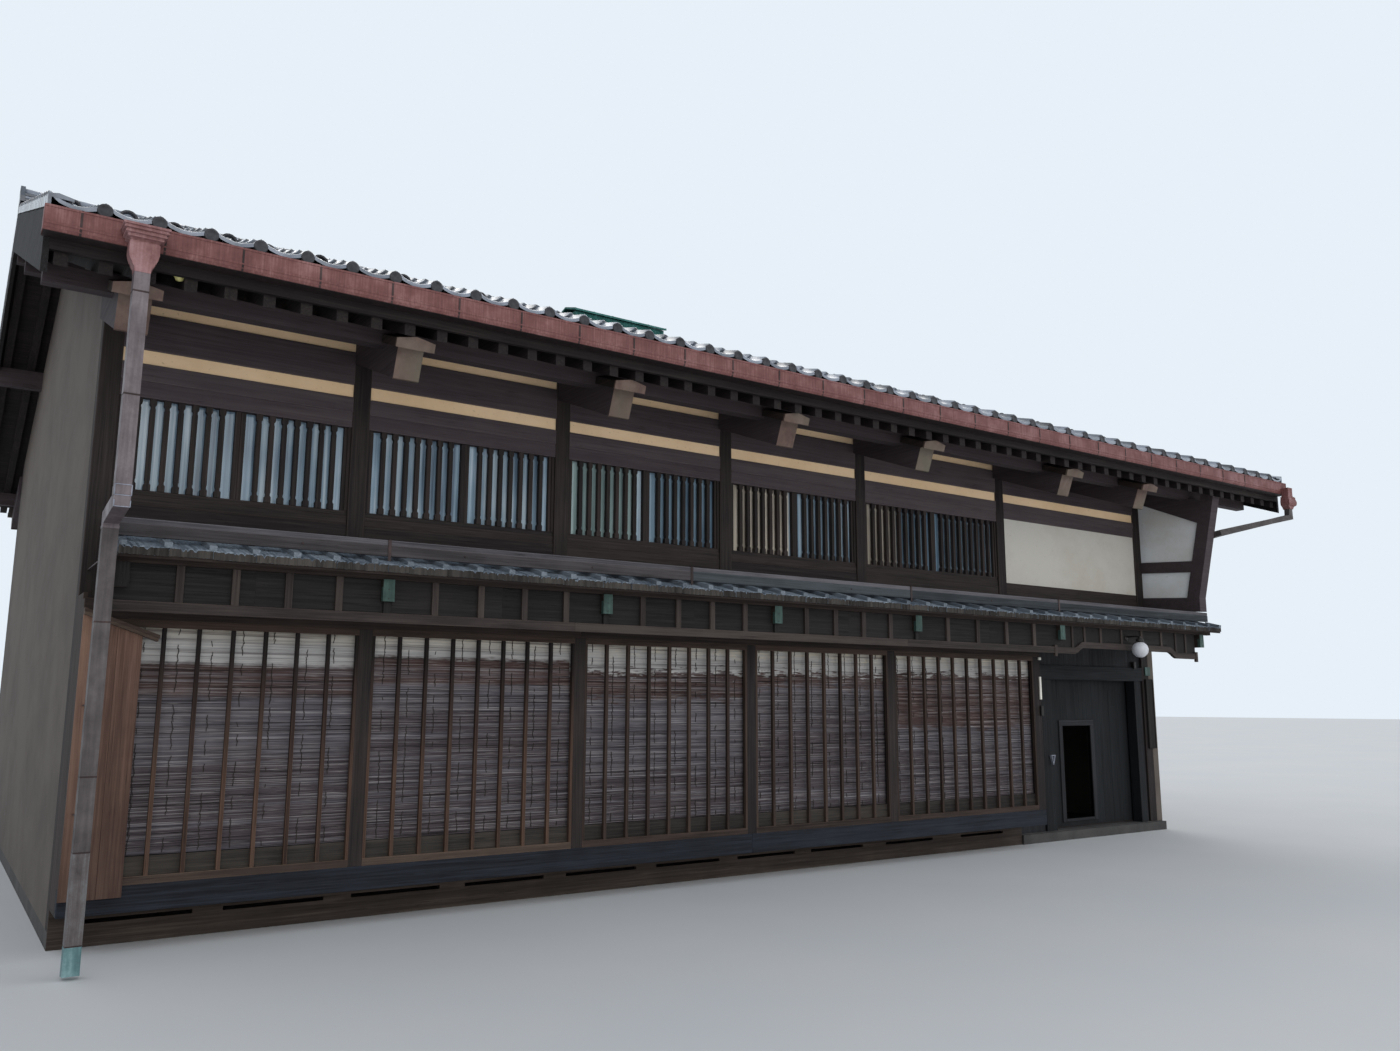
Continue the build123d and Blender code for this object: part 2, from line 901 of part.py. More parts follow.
with BuildPart() as eave_arm_caps:
    for x in eave_arm_x:
        cap_plane = Plane(
            (x, out(eave_cap_out), arm_top(eave_cap_out)),
            x_dir=(1, 0, 0),
            z_dir=(0, -1, -roof_slope),
        )
        with BuildSketch(cap_plane) as cap_end:
            with BuildLine():
                Polyline(
                    (-eave_cap_width / 2, 0),
                    (eave_cap_width / 2, 0),
                    (eave_cap_width / 2, eave_cap_side),
                    (0, eave_cap_crown),
                    (-eave_cap_width / 2, eave_cap_side),
                    close=True,
                )
            make_face()
        extrude(cap_end.sketch, amount=-(eave_cap_out - purlin_front_out))
        block(
            (x - eave_cap_width / 2, x + eave_cap_width / 2),
            (out(purlin_front_out + 40), out(purlin_front_out)),
            (arm_top(purlin_front_out + 40) + 20, arm_top(purlin_front_out) + eave_cap_side),
        )
        profile_along_x(
            [
                arm_end[0],
                (arm_end[0][0] - eave_plate_thickness, arm_end[0][1]),
                (arm_end[1][0] - eave_plate_thickness, arm_end[1][1] - 2),
                arm_end[1],
            ],
            (x - eave_arm_width / 2, x + eave_arm_width / 2),
        )
    cut_block(
        (roof_left, roof_right),
        (out(purlin_front_out), front),
        (purlin_bottom, rafter_bottom(0)),
    )
    mirror(about=Plane.XZ)
write(eave_arm_caps, "eave_arm_caps")

ridge_purlin = 180
middle_purlin_y = front / 2
with BuildPart() as purlins:
    profile_along_x(
        [
            (out(purlin_back_out), purlin_bottom),
            (out(purlin_front_out), purlin_bottom),
            (out(purlin_front_out), rafter_bottom(purlin_front_out)),
            (out(purlin_back_out), rafter_bottom(purlin_back_out)),
        ],
        (roof_left + bargeboard_thickness, roof_right - bargeboard_thickness),
    )
    middle_out = front - middle_purlin_y
    profile_along_x(
        [
            (middle_purlin_y - 60, rafter_bottom(middle_out) - 200),
            (middle_purlin_y + 60, rafter_bottom(middle_out) - 200),
            (middle_purlin_y + 60, rafter_bottom(middle_out - 60)),
            (middle_purlin_y - 60, rafter_bottom(middle_out + 60)),
        ],
        (roof_left + bargeboard_thickness, roof_right - bargeboard_thickness),
    )
    mirror(about=Plane.XZ)
    profile_along_x(
        [
            (-60, rafter_bottom(front) - ridge_purlin),
            (60, rafter_bottom(front) - ridge_purlin),
            (60, rafter_bottom(front + 60)),
            (0, rafter_bottom(front)),
            (-60, rafter_bottom(front + 60)),
        ],
        (roof_left + bargeboard_thickness, roof_right - bargeboard_thickness),
    )
write(purlins, "purlins")


# Layers of the main roof, each with a slope to the front and one to the back
def slope_outline(low, high, eave):
    """Outline of the front slope between two heights over the rafters' underside."""
    edge = rafter_bottom(eave)
    crown = rafter_bottom(front + ridge_gap)
    return [
        (out(eave), edge + low),
        (-ridge_gap, crown + low),
        (-ridge_gap, crown + high),
        (out(eave), edge + high),
    ]


rafter_run = house_depth / 2 + rafter_out - ridge_gap
rafter_length = rafter_run * sqrt(1 + roof_slope**2)
rafter_span = roof_right - roof_left - 2 * (bargeboard_thickness + 30) - rafter_width
rafter_count = round(rafter_span / rafter_pitch) + 1
rafter_centre = ((roof_left + roof_right) / 2, rafter_end_bottom + rafter_height / 2)
with BuildPart() as rafters:
    with BuildSketch(Plane.XZ.offset(-out(rafter_out))) as rafter_ends:
        with Locations(rafter_centre):
            with GridLocations(rafter_span / (rafter_count - 1), 0, rafter_count, 1):
                Rectangle(rafter_width, rafter_height)
    extrude(rafter_ends.sketch, amount=rafter_length, dir=(0, 1, roof_slope))
    mirror(about=Plane.XZ)
write(rafters, "rafters")

board_level = rafter_height + roof_board
bed_level = board_level + tile_bed
tile_level = bed_level + tile_height
inner_x = (roof_left + bargeboard_thickness, roof_right - bargeboard_thickness)
with BuildPart() as roof_boards:
    profile_along_x(slope_outline(rafter_height, board_level, rafter_out), inner_x)
    block(
        inner_x,
        (out(rafter_out + fascia_thickness), out(rafter_out)),
        (fascia_bottom, fascia_bottom + fascia_height),
    )
    mirror(about=Plane.XZ)
write(roof_boards, "roof_boards")

with BuildPart() as tile_bedding:
    profile_along_x(slope_outline(board_level, bed_level, rafter_out), inner_x)
    mirror(about=Plane.XZ)
write(tile_bedding, "tile_bedding")

# The tiles' rolls run down each slope between the edge tiles
pan_level = bed_level + tile_pan_height
tile_columns = round((roof_right - roof_left) / tile_pitch)
tile_step = (roof_right - roof_left) / tile_columns
roll_height = tile_level - pan_level
roll_centre = ((roof_left + roof_right) / 2, rafter_bottom(tile_out) + pan_level + roll_height / 2)
roll_length = (house_depth / 2 + tile_out - ridge_gap) * sqrt(1 + roof_slope**2)
with BuildPart() as roof_tiles:
    profile_along_x(slope_outline(bed_level, pan_level, tile_out), (roof_left, roof_right))
    with BuildSketch(Plane.XZ.offset(-out(tile_out))) as roll_ends:
        with Locations(roll_centre):
            with GridLocations(tile_step, 0, tile_columns - 1, 1):
                Trapezoid(tile_roll_width, roll_height, tile_roll_angle)
    extrude(roll_ends.sketch, amount=roll_length, dir=(0, 1, roof_slope))
    for xs in (
        (roof_left, roof_left + edge_tile_width),
        (roof_right - edge_tile_width, roof_right),
    ):
        profile_along_x(slope_outline(pan_level, tile_level, tile_out), xs)
    mirror(about=Plane.XZ)
write(roof_tiles, "roof_tiles")

with BuildPart() as bargeboards:
    for xs in ((roof_left, inner_x[0]), (inner_x[1], roof_right)):
        profile_along_x(
            slope_outline(-bargeboard_drop, bed_level, rafter_out + fascia_thickness),
            xs,
        )
    mirror(about=Plane.XZ)
write(bargeboards, "bargeboards")

# Ridge and the low vent on it
ridge_crown = rafter_bottom(front) + tile_level
vent_x = (vent_left, vent_left + vent_length)
with BuildPart() as ridge:
    for xs in ((roof_left, vent_x[0]), (vent_x[1], roof_right)):
        profile_along_x(
            [
                (-ridge_width / 2, ridge_crown - roof_slope * ridge_width / 2),
                (0, ridge_crown),
                (ridge_width / 2, ridge_crown - roof_slope * ridge_width / 2),
                (ridge_width / 2, ridge_crown + ridge_height * 0.6),
                (ridge_width / 4, ridge_crown + ridge_height),
                (-ridge_width / 4, ridge_crown + ridge_height),
                (-ridge_width / 2, ridge_crown + ridge_height * 0.6),
            ],
            xs,
        )
write(ridge, "ridge")

with BuildPart() as ridge_vent:
    half = vent_width / 2
    profile_along_x(
        [
            (-half, ridge_crown - roof_slope * half),
            (0, ridge_crown),
            (half, ridge_crown - roof_slope * half),
            (half, ridge_crown + vent_height - 40),
            (0, ridge_crown + vent_height + 60),
            (-half, ridge_crown + vent_height - 40),
        ],
        vent_x,
    )
write(ridge_vent, "ridge_vent")

# Gutter, leader heads and downpipes
gutter_x = (roof_left - 15, roof_right - 15)
gutter_back = rafter_out + fascia_thickness
gutter_front = gutter_back + gutter_width
gutter_bottom = gutter_top - gutter_height
with BuildPart() as gutters:
    block(gutter_x, (out(gutter_front), out(gutter_back)), (gutter_bottom, gutter_top))
    cut_block(
        (gutter_x[0] + gutter_wall, gutter_x[1] - gutter_wall),
        (out(gutter_front - gutter_wall), out(gutter_back + gutter_wall)),
        (gutter_bottom + gutter_wall, gutter_top),
    )
    mirror(about=Plane.XZ)
write(gutters, "gutters")


# Widths of the leader heads at these depths under the gutter's rim, down to their spouts
left_head_sections = [
    (61, 282),
    (77, 282),
    (109, 240),
    (134, 236),
    (192, 173),
    (249, 195),
    (297, 180),
    (323, 128),
    (369, 96),
]
right_head_sections = [
    (90, 120),
    (205, 110),
    (225, 190),
    (290, 212),
    (340, 204),
    (399, 88),
]


def leader_head(x, sections):
    """Adds a leader head against the gutter's front, narrowing to its spout."""
    layers = []
    for drop, width in sections:
        depth = max(pipe_size, 0.6 * width)
        with BuildSketch(Plane.XY.offset(gutter_top - drop)) as layer:
            with Locations((x, out(gutter_front + depth / 2))):
                Rectangle(width, depth)
        layers.append(layer.sketch)
    loft(layers, ruled=True)


def square_pipe(route, size):
    """Adds a square pipe that starts downwards and follows these points."""
    with BuildLine() as line:
        Polyline(*route)
    with BuildSketch(Plane(route[0], x_dir=(1, 0, 0), z_dir=(0, 0, -1))) as pipe_end:
        Rectangle(size, size)
    sweep(pipe_end.sketch, path=line.line, transition=Transition.RIGHT)


pipe_high_out = gutter_front + pipe_size / 2
pipe_overlap = 20
left_spout = gutter_top - left_head_sections[-1][0]
left_route = [
    (pipe_x, out(pipe_high_out), left_spout + pipe_overlap),
    (pipe_x, out(pipe_high_out), pipe_bend_top),
    (pipe_x, out(pipe_low_out), pipe_bend_bottom),
    (pipe_x, out(pipe_low_out), 0),
]
with BuildPart() as left_downpipe:
    leader_head(pipe_x, left_head_sections)
    square_pipe(left_route, pipe_size)
write(left_downpipe, "left_downpipe")

# The right pipe runs back to the wing wall, along it, and down the party wall
right_head_x = 8150
right_pipe_size = 80
side_pipe_gap = 20
side_pipe_x = wing_x[1] + side_pipe_gap + right_pipe_size / 2
side_pipe_out = 1120
side_pipe_behind = 200
right_spout = gutter_top - right_head_sections[-1][0]
first_bend_drop = 114
second_bend_drop = 405
third_bend_drop = 600
right_route = [
    (right_head_x, out(pipe_high_out), right_spout + pipe_overlap),
    (right_head_x, out(pipe_high_out), right_spout - first_bend_drop),
    (side_pipe_x, out(side_pipe_out), right_spout - second_bend_drop),
    (side_pipe_x, out(-side_pipe_behind), right_spout - third_bend_drop),
    (side_pipe_x, out(-side_pipe_behind), 0),
]
with BuildPart() as right_downpipe:
    leader_head(right_head_x, right_head_sections)
    square_pipe(right_route, right_pipe_size)
write(right_downpipe, "right_downpipe")


# Party walls with gables, notched over the purlins
def party_wall(sides):
    """Adds one end wall up to the rafters."""
    profile_along_x(
        [
            (front + post_depth, floor_top),
            (-front - post_depth, floor_top),
            (-front - post_depth, rafter_bottom(-post_depth)),
            (0, rafter_bottom(front)),
            (front + post_depth, rafter_bottom(-post_depth)),
        ],
        sides,
    )
    for y in (middle_purlin_y, -middle_purlin_y):
        cut_block(sides, (y - 60, y + 60), (rafter_bottom(middle_out) - 200, ridge_crown))
    cut_block(sides, (-60, 60), (rafter_bottom(front) - ridge_purlin, ridge_crown))


with BuildPart() as party_walls:
    party_wall((wall_left, wall_left + party_wall_thickness))
    party_wall((wall_right - party_wall_thickness, wall_right))
    for ys in ((front, front + post_depth), (-front - post_depth, -front)):
        block((wall_right - party_wall_thickness, wall_right), ys, (floor_top, plate_bottom))
write(party_walls, "party_walls")

# Back wall: boards below, plaster and windows above
back_y = (-front - 2 * board_thickness, -front - board_thickness)
with BuildPart() as back_boards:
    for sides in bays:
        block(sides, back_y, (floor_top, girder_bottom))
write(back_boards, "back_boards")
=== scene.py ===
import math
import random

import bmesh
import bpy
import numpy as np
from mathutils import Euler, Matrix, Vector


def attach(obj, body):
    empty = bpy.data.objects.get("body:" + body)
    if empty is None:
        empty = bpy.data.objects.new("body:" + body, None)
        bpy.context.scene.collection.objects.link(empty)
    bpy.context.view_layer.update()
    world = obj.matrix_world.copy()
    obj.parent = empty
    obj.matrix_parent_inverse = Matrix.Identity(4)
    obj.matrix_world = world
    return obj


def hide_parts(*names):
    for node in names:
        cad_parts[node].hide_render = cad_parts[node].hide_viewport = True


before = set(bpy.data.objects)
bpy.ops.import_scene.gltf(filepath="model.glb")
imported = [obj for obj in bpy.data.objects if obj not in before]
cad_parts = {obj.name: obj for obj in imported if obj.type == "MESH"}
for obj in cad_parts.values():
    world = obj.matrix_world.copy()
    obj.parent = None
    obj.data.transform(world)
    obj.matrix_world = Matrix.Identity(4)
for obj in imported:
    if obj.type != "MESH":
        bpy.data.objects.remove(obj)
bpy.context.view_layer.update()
rng = random.Random(11)

# Sizes are in millimetres here, as in the CAD source, and turn into metres in the mesh builder
MM = 0.001
BAYS = [1950, 1975, 1975, 1975, 2485, 3015]
POST_X = [-sum(BAYS) / 2 + sum(BAYS[:i]) for i in range(len(BAYS) + 1)]
DEPTH = 8870
FRONT = -DEPTH / 2
HALF_POST, POST_DEPTH = 75, 140
WALL_LEFT = POST_X[0] - HALF_POST
WALL_RIGHT = POST_X[-1] + HALF_POST + 120
FLOOR_TOP = 120
SILL_BOTTOM, SILL_TOP = 275, 459
LATTICE_TOP, LINTEL_BOTTOM, LINTEL_TOP = 2266, 2318, 2460
LATTICE_OUT = 428
SLAT_BOTTOM, SLAT_PITCH, BLIND_BOTTOM = SILL_TOP + 57, 233, SILL_TOP + 188
LATTICE_RIGHT = POST_X[5] + 113
ROOF_LEFT, ROOF_RIGHT = WALL_LEFT - 515, WALL_RIGHT + 1380
ROOF_SLOPE = 0.375
RAFTER_OUT = 1258
PENT_SLOPE = 0.27
PENT_EDGE_OUT, PENT_EDGE_TOP = 1038, 2782
PENT_LEFT, PENT_RIGHT = -6650, 6962
UPPER_SILL_TOP, WINDOW_BOTTOM, WINDOW_TOP = 3234, 3352, 4084
HEAD_RAIL_TOP, LOW_STRIP_TOP, BEAM_TOP, HIGH_STRIP_TOP = 4352, 4466, 4759, 4840
GIRDER_BOTTOM, GIRDER_TOP, FLOOR_BEAM_TOP = 2760, 3000, 3120
PANEL_BOTTOM, PANEL_TOP = 3291, 4138
DOOR_HEAD = 2058
BED_LEVEL, TILE_LEVEL, TILE_OUT = 390, 502, 1378
GUTTER_FRONT, GUTTER_TOP = 1438, 4899
ARM_HALF = 45
PENT_ARM_X = [-6600, POST_X[1], POST_X[2], POST_X[3] - 35, POST_X[4] - 50, POST_X[5] - 54, POST_X[6] - 40]
PENT_ARM_BOTTOM, PENT_ARM_TOP = 2507, 2680
VALANCE_BOTTOM, RAIL_TOP, PANEL_OUT, RAIL_OUT = 2343, 2418, (858, 840), (885, 858)


def out(distance):
    """The Y of a plane this far in front of the front wall face."""
    return FRONT - distance


def rafter_bottom(distance):
    return 4560 + ROOF_SLOPE * (RAFTER_OUT - distance)


def pent_top(distance):
    return PENT_EDGE_TOP + PENT_SLOPE * (PENT_EDGE_OUT - distance)


def around(x, half):
    return (x - half, x + half)


def pairs(values):
    """Each value with the next one."""
    return list(zip(values[:-1], values[1:]))


def steps(start, end, count):
    """Points that cut a length into this many equal parts, its ends among them."""
    return [start + (end - start) * i / count for i in range(count + 1)]


def linear(value):
    """The numbers of a shader for a grey, or for a colour of three numbers as it looks on screen, 0 to 255."""
    if isinstance(value, (int, float)):
        return (value, value, value, 1)
    return (*[(c / 255) ** 2.2 for c in value], 1) if len(value) == 3 else value


# Shader building
class Nodes:
    """A node tree with short calls to add to it."""

    def __init__(self, owner):
        owner.use_nodes = True
        self.tree = owner.node_tree
        self.tree.nodes.clear()

    def add(self, kind, settings=None, **inputs):
        node = self.tree.nodes.new("ShaderNode" + kind)
        for key, value in (settings or {}).items():
            setattr(node, key, value)
        for key, value in inputs.items():
            self.put(node.inputs[key.replace("_", " ")], value)
        return node

    def put(self, socket, value):
        if isinstance(value, bpy.types.NodeSocket):
            self.tree.links.new(value, socket)
        else:
            socket.default_value = linear(value) if socket.type == "RGBA" else value

    def math(self, operation, a, b=0.0, clamp=False):
        node = self.add("Math", {"operation": operation, "use_clamp": clamp})
        self.put(node.inputs[0], a)
        self.put(node.inputs[1], b)
        return node.outputs[0]

    def times(self, a, b):
        return self.math("MULTIPLY", a, b)

    def minus(self, a, b):
        return self.math("SUBTRACT", a, b)

    def past(self, a, b, gain):
        """How far a is past b, times a gain, held between 0 and 1."""
        return self.math("MULTIPLY", self.minus(a, b), gain, True)

    def weigh(self, *parts):
        """The sum of these values, each times its weight."""
        total = None
        for value, weight in parts:
            part = self.times(value, weight)
            total = part if total is None else self.math("ADD", total, part)
        return total


looks = {}


class Shader(Nodes):
    """A material with one Principled shader."""

    def __init__(self, name):
        looks[name] = bpy.data.materials.new(name)
        super().__init__(looks[name])
        self.body = self.add("BsdfPrincipled")
        self.add("OutputMaterial", Surface=self.body.outputs[0])

    def set(self, **inputs):
        for key, value in inputs.items():
            self.put(self.body.inputs[key.replace("_", " ")], value)

    def place(self):
        return self.add("TexCoord").outputs["Object"]

    def attribute(self, name, output="Fac"):
        return self.add("Attribute", {"attribute_name": name}).outputs[output]

    def noise(self, vector, scale=1.0, detail=4.0, rough=0.55, distort=0.0, stretch=None):
        if stretch:
            vector = self.add("Mapping", Vector=vector, Scale=stretch).outputs[0]
        node = self.add("TexNoise", Vector=vector, Scale=scale, Detail=detail, Roughness=rough, Distortion=distort)
        return node.outputs[0]

    def ramp(self, factor, *stops, interpolation="LINEAR"):
        node = self.add("ValToRGB", Fac=factor)
        node.color_ramp.interpolation = interpolation
        elements = node.color_ramp.elements
        while len(elements) < len(stops):
            elements.new(0.5)
        for element, (position, value) in zip(elements, stops):
            element.position = position
            element.color = linear(value)
        return node.outputs[0]

    def mix(self, factor, a, b):
        node = self.add("Mix", {"data_type": "RGBA"})
        for index, value in ((0, factor), (6, a), (7, b)):
            self.put(node.inputs[index], value)
        return node.outputs[2]

    def bump(self, height, strength=0.3, distance=0.003):
        self.set(Normal=self.add("Bump", Height=height, Strength=strength, Distance=distance).outputs[0])

    def parts(self):
        return self.add("SeparateXYZ", Vector=self.place()).outputs


def grain_vector(s, axis):
    """Grain coordinates: the piece's own attribute, or object space turned so X follows the grain."""
    if axis is None:
        return s.attribute("grain", "Vector")
    parts = s.parts()
    order = {"x": (0, 1, 2), "y": (1, 0, 2)}[axis]
    return s.add("CombineXYZ", X=parts[order[0]], Y=parts[order[1]], Z=parts[order[2]]).outputs[0]


def wood(name, dark, mid, light, axis=None, rough=0.78, cracks=0.5, wear=0.35, coarse=1.0, depth=0.004,
         painted_shade_from=None):
    """Weathered timber: long fibres, growth bands, cracks along the grain, and worn edges.
    Given two heights for its shade, it darkens from the first to the second towards a dark brown: painted shade."""
    s = Shader(name)
    v = grain_vector(s, axis)
    fibre = s.noise(v, detail=7, rough=0.65, stretch=(1.6, 70 * coarse, 70 * coarse))
    bands = s.noise(v, detail=3, distort=0.4, stretch=(0.5, 16 * coarse, 16 * coarse))
    total = s.weigh((fibre, 0.45), (bands, 0.3), (s.noise(v, 2.2, 5, 0.6), 0.25))
    if axis is None:
        total = s.math("ADD", total, s.times(s.attribute("tone"), 0.16))
    shade = s.ramp(total, (0.3, dark), (0.5, mid), (0.7, light))
    split = s.noise(v, detail=2, rough=0.4, stretch=(0.8, 42 * coarse, 42 * coarse))
    line = s.math("SUBTRACT", 1.0, s.times(s.math("ABSOLUTE", s.minus(split, 0.5)), 90.0), True)
    line = s.times(line, s.past(s.noise(v, 3.0, 2), 0.5, 8.0))
    shade = s.mix(s.times(line, cracks), shade, (0.004, 0.003, 0.003, 1))
    if axis is None:
        bright = (*[min(1, c * 2.2) for c in linear(light)[:3]], 1)
        shade = s.mix(s.times(s.attribute("worn"), wear), shade, bright)
    # Painted shade: darker towards a dark brown between the two heights
    if painted_shade_from:
        low, high = painted_shade_from
        shade = s.mix(s.past(s.parts()["Z"], low, 0.85 / (high - low)), shade, (30, 23, 22))
    s.set(Base_Color=shade, Specular_IOR_Level=0.28)
    s.set(Roughness=s.ramp(fibre, (0.3, rough + 0.1), (0.7, rough - 0.1)))
    s.bump(s.minus(fibre, s.times(line, 1.5)), 0.55, depth)


def mottled(name, dark, light, scale=3.0, rough=0.8, grit=60.0, relief=0.002, metallic=0.0, strength=0.3):
    """A surface of soft blotches with a fine grit."""
    s = Shader(name)
    v = s.place()
    fine = s.noise(v, grit, 4, 0.7)
    total = s.weigh((s.noise(v, scale, 6, 0.6), 0.7), (fine, 0.3))
    s.set(Base_Color=s.ramp(total, (0.35, dark), (0.65, light)), Metallic=metallic)
    s.set(Roughness=s.ramp(fine, (0.3, min(1, rough + 0.1)), (0.7, rough - 0.08)))
    s.bump(fine, strength, relief)


def plaster(name, base, stain, speck):
    """Lime plaster with faint trowel marks, stains and small specks."""
    s = Shader(name)
    v = s.place()
    stains = s.noise(v, 1.2, 6, 0.7, stretch=(0.7, 0.7, 0.9))
    trowel = s.noise(v, 2.0, stretch=(3, 3, 9))
    specks = s.past(s.noise(v, 38, 2), 0.66, 12.0)
    shade = s.mix(s.times(specks, 0.5), s.ramp(stains, (0.35, stain), (0.58, base)), speck)
    s.set(Base_Color=shade, Roughness=0.88)
    s.bump(s.weigh((trowel, 0.6), (s.noise(v, 220, 3), 0.3)), 0.25, 0.004)


def sheet_metal(name, dark, mid, light, streaks=1.0, rough=0.6, tint=None):
    """Weathered sheet copper: runs of rain down it, blotches and dull spots."""
    s = Shader(name)
    v = s.place()
    runs = s.noise(v, detail=5, rough=0.6, stretch=(34 * streaks, 34 * streaks, 2.4))
    blotch = s.noise(v, 5.0, 6, 0.65)
    total = s.weigh((runs, 0.45), (blotch, 0.45), (s.noise(v, 90.0, 3), 0.1))
    shade = s.ramp(total, (0.34, dark), (0.5, mid), (0.66, light))
    if tint:
        shade = s.mix(s.past(s.noise(v, 1.7, 2), 0.42, 4.0), shade, tint)
    s.set(Base_Color=shade, Metallic=0.2)
    s.set(Roughness=s.ramp(blotch, (0.3, rough + 0.15), (0.7, rough - 0.1)))
    s.bump(blotch, 0.15, 0.004)


def glazed_tile(name):
    s = Shader(name)
    v = s.place()
    blotch = s.noise(v, 9.0, 5)
    total = s.weigh((blotch, 0.5), (s.attribute("tone"), 0.5))
    # The ramp rises from the black glaze to a pale blue: painted reflection of the sky on the glaze
    s.set(Base_Color=s.ramp(total, (0.2, (34, 36, 41)), (0.45, (80, 86, 96)), (0.85, (150, 158, 172))))
    s.set(Roughness=s.ramp(blotch, (0.3, 0.36), (0.7, 0.22)), Coat_Weight=0.35, Coat_Roughness=0.12)
    s.bump(s.noise(v, 40.0, 3), 0.12, 0.002)


def reeds(name):
    """Split reeds in weathered bands: pale at the top, then maroon, grey and dull, with broken streaks.
    The heights of the bands differ from bay to bay."""
    s = Shader(name)
    v = s.place()
    across = s.times(s.math("ADD", s.parts()["X"], 6.8), 1 / 10.7)

    def by_bay(*values):
        return s.ramp(across, *zip([0.0, 0.187, 0.371, 0.556, 0.742], values), interpolation="CONSTANT")

    ragged = s.noise(v, detail=3, rough=0.6, stretch=(7, 7, 40))
    wander = s.times(s.minus(ragged, 0.5), by_bay(0.06, 0.1, 0.4, 0.45, 0.35))
    level = s.math("ADD", s.parts()["Z"], wander)
    lines = s.noise(v, detail=2, rough=0.6, stretch=(0.9, 0.9, 150))
    rows = s.noise(v, detail=3, rough=0.6, stretch=(0.35, 0.35, 26))
    dashes = s.noise(v, detail=2, rough=0.6, stretch=(4, 4, 260))
    patch = s.noise(v, detail=3, rough=0.6, stretch=(1.3, 1.3, 2.2))
    dark_line, pale_line = s.past(0.46, lines, 12.0), s.past(lines, 0.57, 12.0)
    shade = s.mix(patch, (66, 60, 66), (88, 80, 82))
    for line, first, second in (
        (by_bay(1.309, 1.65, 1.06, 1.64, 1.2), (78, 76, 84), (104, 98, 100)),
        (by_bay(1.760, 1.86, 1.76, 1.88, 1.43), (66, 54, 54), (92, 72, 68)),
    ):
        shade = s.mix(s.past(level, line, 24.0), shade, s.mix(patch, first, second))
    for mark, amount, tint in (
        (s.past(rows, 0.52, 10.0), 0.3, (116, 115, 124)),
        (dark_line, 0.85, (26, 20, 22)),
        (pale_line, 0.5, (176, 172, 172)),
        (s.past(dashes, 0.62, 12.0), 0.5, (186, 180, 176)),
    ):
        shade = s.mix(s.times(mark, amount), shade, tint)
    pale = s.mix(s.past(level, 2.16, 7.0), (178, 177, 176), (204, 196, 178))
    for mark, amount, tint in (
        (dark_line, 0.5, (84, 76, 74)),
        (s.past(0.44, rows, 9.0), 0.6, (74, 64, 68)),
        (pale_line, 0.4, (222, 216, 206)),
    ):
        pale = s.mix(s.times(mark, amount), pale, tint)
    shade = s.mix(s.past(level, by_bay(1.999, 2.09, 2.02, 2.02, 2.05), 30.0), shade, pale)
    s.set(Base_Color=shade, Roughness=0.7, Specular_IOR_Level=0.3)
    s.bump(lines, 0.4, 0.002)


def window_panes(name):
    """Panes with pale curtains close behind them, and a soft sheen. The curtains differ along the front."""
    s = Shader(name)
    v = s.place()
    wave = s.noise(v, 1.3, 2)
    total = s.weigh((s.noise(v, detail=3, rough=0.5, stretch=(26, 1, 0.5)), 0.6), (wave, 0.4))
    across = s.parts()["X"]
    shade = s.ramp(total, (0.36, (84, 102, 120)), (0.5, (132, 156, 174)), (0.62, (182, 200, 212)))
    dim = s.ramp(total, (0.4, (84, 104, 122)), (0.62, (130, 156, 174)))
    warm = s.ramp(total, (0.38, (150, 142, 130)), (0.6, (214, 205, 190)))
    green = s.ramp(total, (0.38, (96, 116, 118)), (0.6, (152, 174, 174)))
    for start, end, curtain in (
        (-2.7, -1.85, green), (-1.78, -0.86, dim), (-0.72, 0.16, warm), (1.85, 3.62, dim), (1.25, 1.85, warm),
    ):
        shade = s.mix(s.times(s.past(across, start, 30.0), s.past(end, across, 30.0)), shade, curtain)
    s.set(Base_Color=shade, Roughness=0.12, IOR=1.5)
    s.bump(wave, 0.05, 0.01)


DARK = (22, 18, 19), (35, 30, 30), (54, 46, 44)
# Lighter copies of the dark timber for the pieces under the eaves: painted light under the eaves
EAVE_PAINTED_LIGHT = (53, 46, 49), (66, 58, 61), (80, 72, 74)
wood("dark_wood", *DARK)
# Door timber: dark wood darkened further with painted shade, for the shade the door is set in
wood("door_wood", (10, 12, 14), (17, 20, 23), (29, 32, 35), wear=0.2)
# Pent roof planks: weathered grey with a blue cast, painted skylight on their tops
wood("grey_wood", (48, 53, 59), (92, 102, 114), (144, 155, 166), cracks=0.9, rough=0.85, coarse=0.8, depth=0.008)
wood("over_door_wood", (18, 18, 20), (28, 28, 31), (46, 46, 49), wear=0.2)
wood("eave_wood", *EAVE_PAINTED_LIGHT)
# Very dark wood: painted shade on the valance panels under the pent roof
wood("deep_wood", (15, 13, 13), (23, 21, 20), (36, 33, 32))
wood("rim_wood", (42, 40, 42), (68, 66, 69), (98, 96, 100), rough=0.8, cracks=0.7)
# The snow board's lower board, darker than the top board: painted shade
wood("under_rim_wood", (36, 34, 35), (56, 53, 54), (82, 78, 79), cracks=0.8)
# Plank ends: end grain, darker than the tops with painted shade
wood("end_wood", (28, 26, 25), (48, 45, 43), (74, 70, 66), cracks=1.0, rough=0.9, coarse=0.35)
wood("low_wood", (26, 21, 19), (40, 33, 30), (60, 50, 45))
wood("rail_wood", (40, 32, 28), (60, 49, 43), (88, 74, 65), wear=0.4)
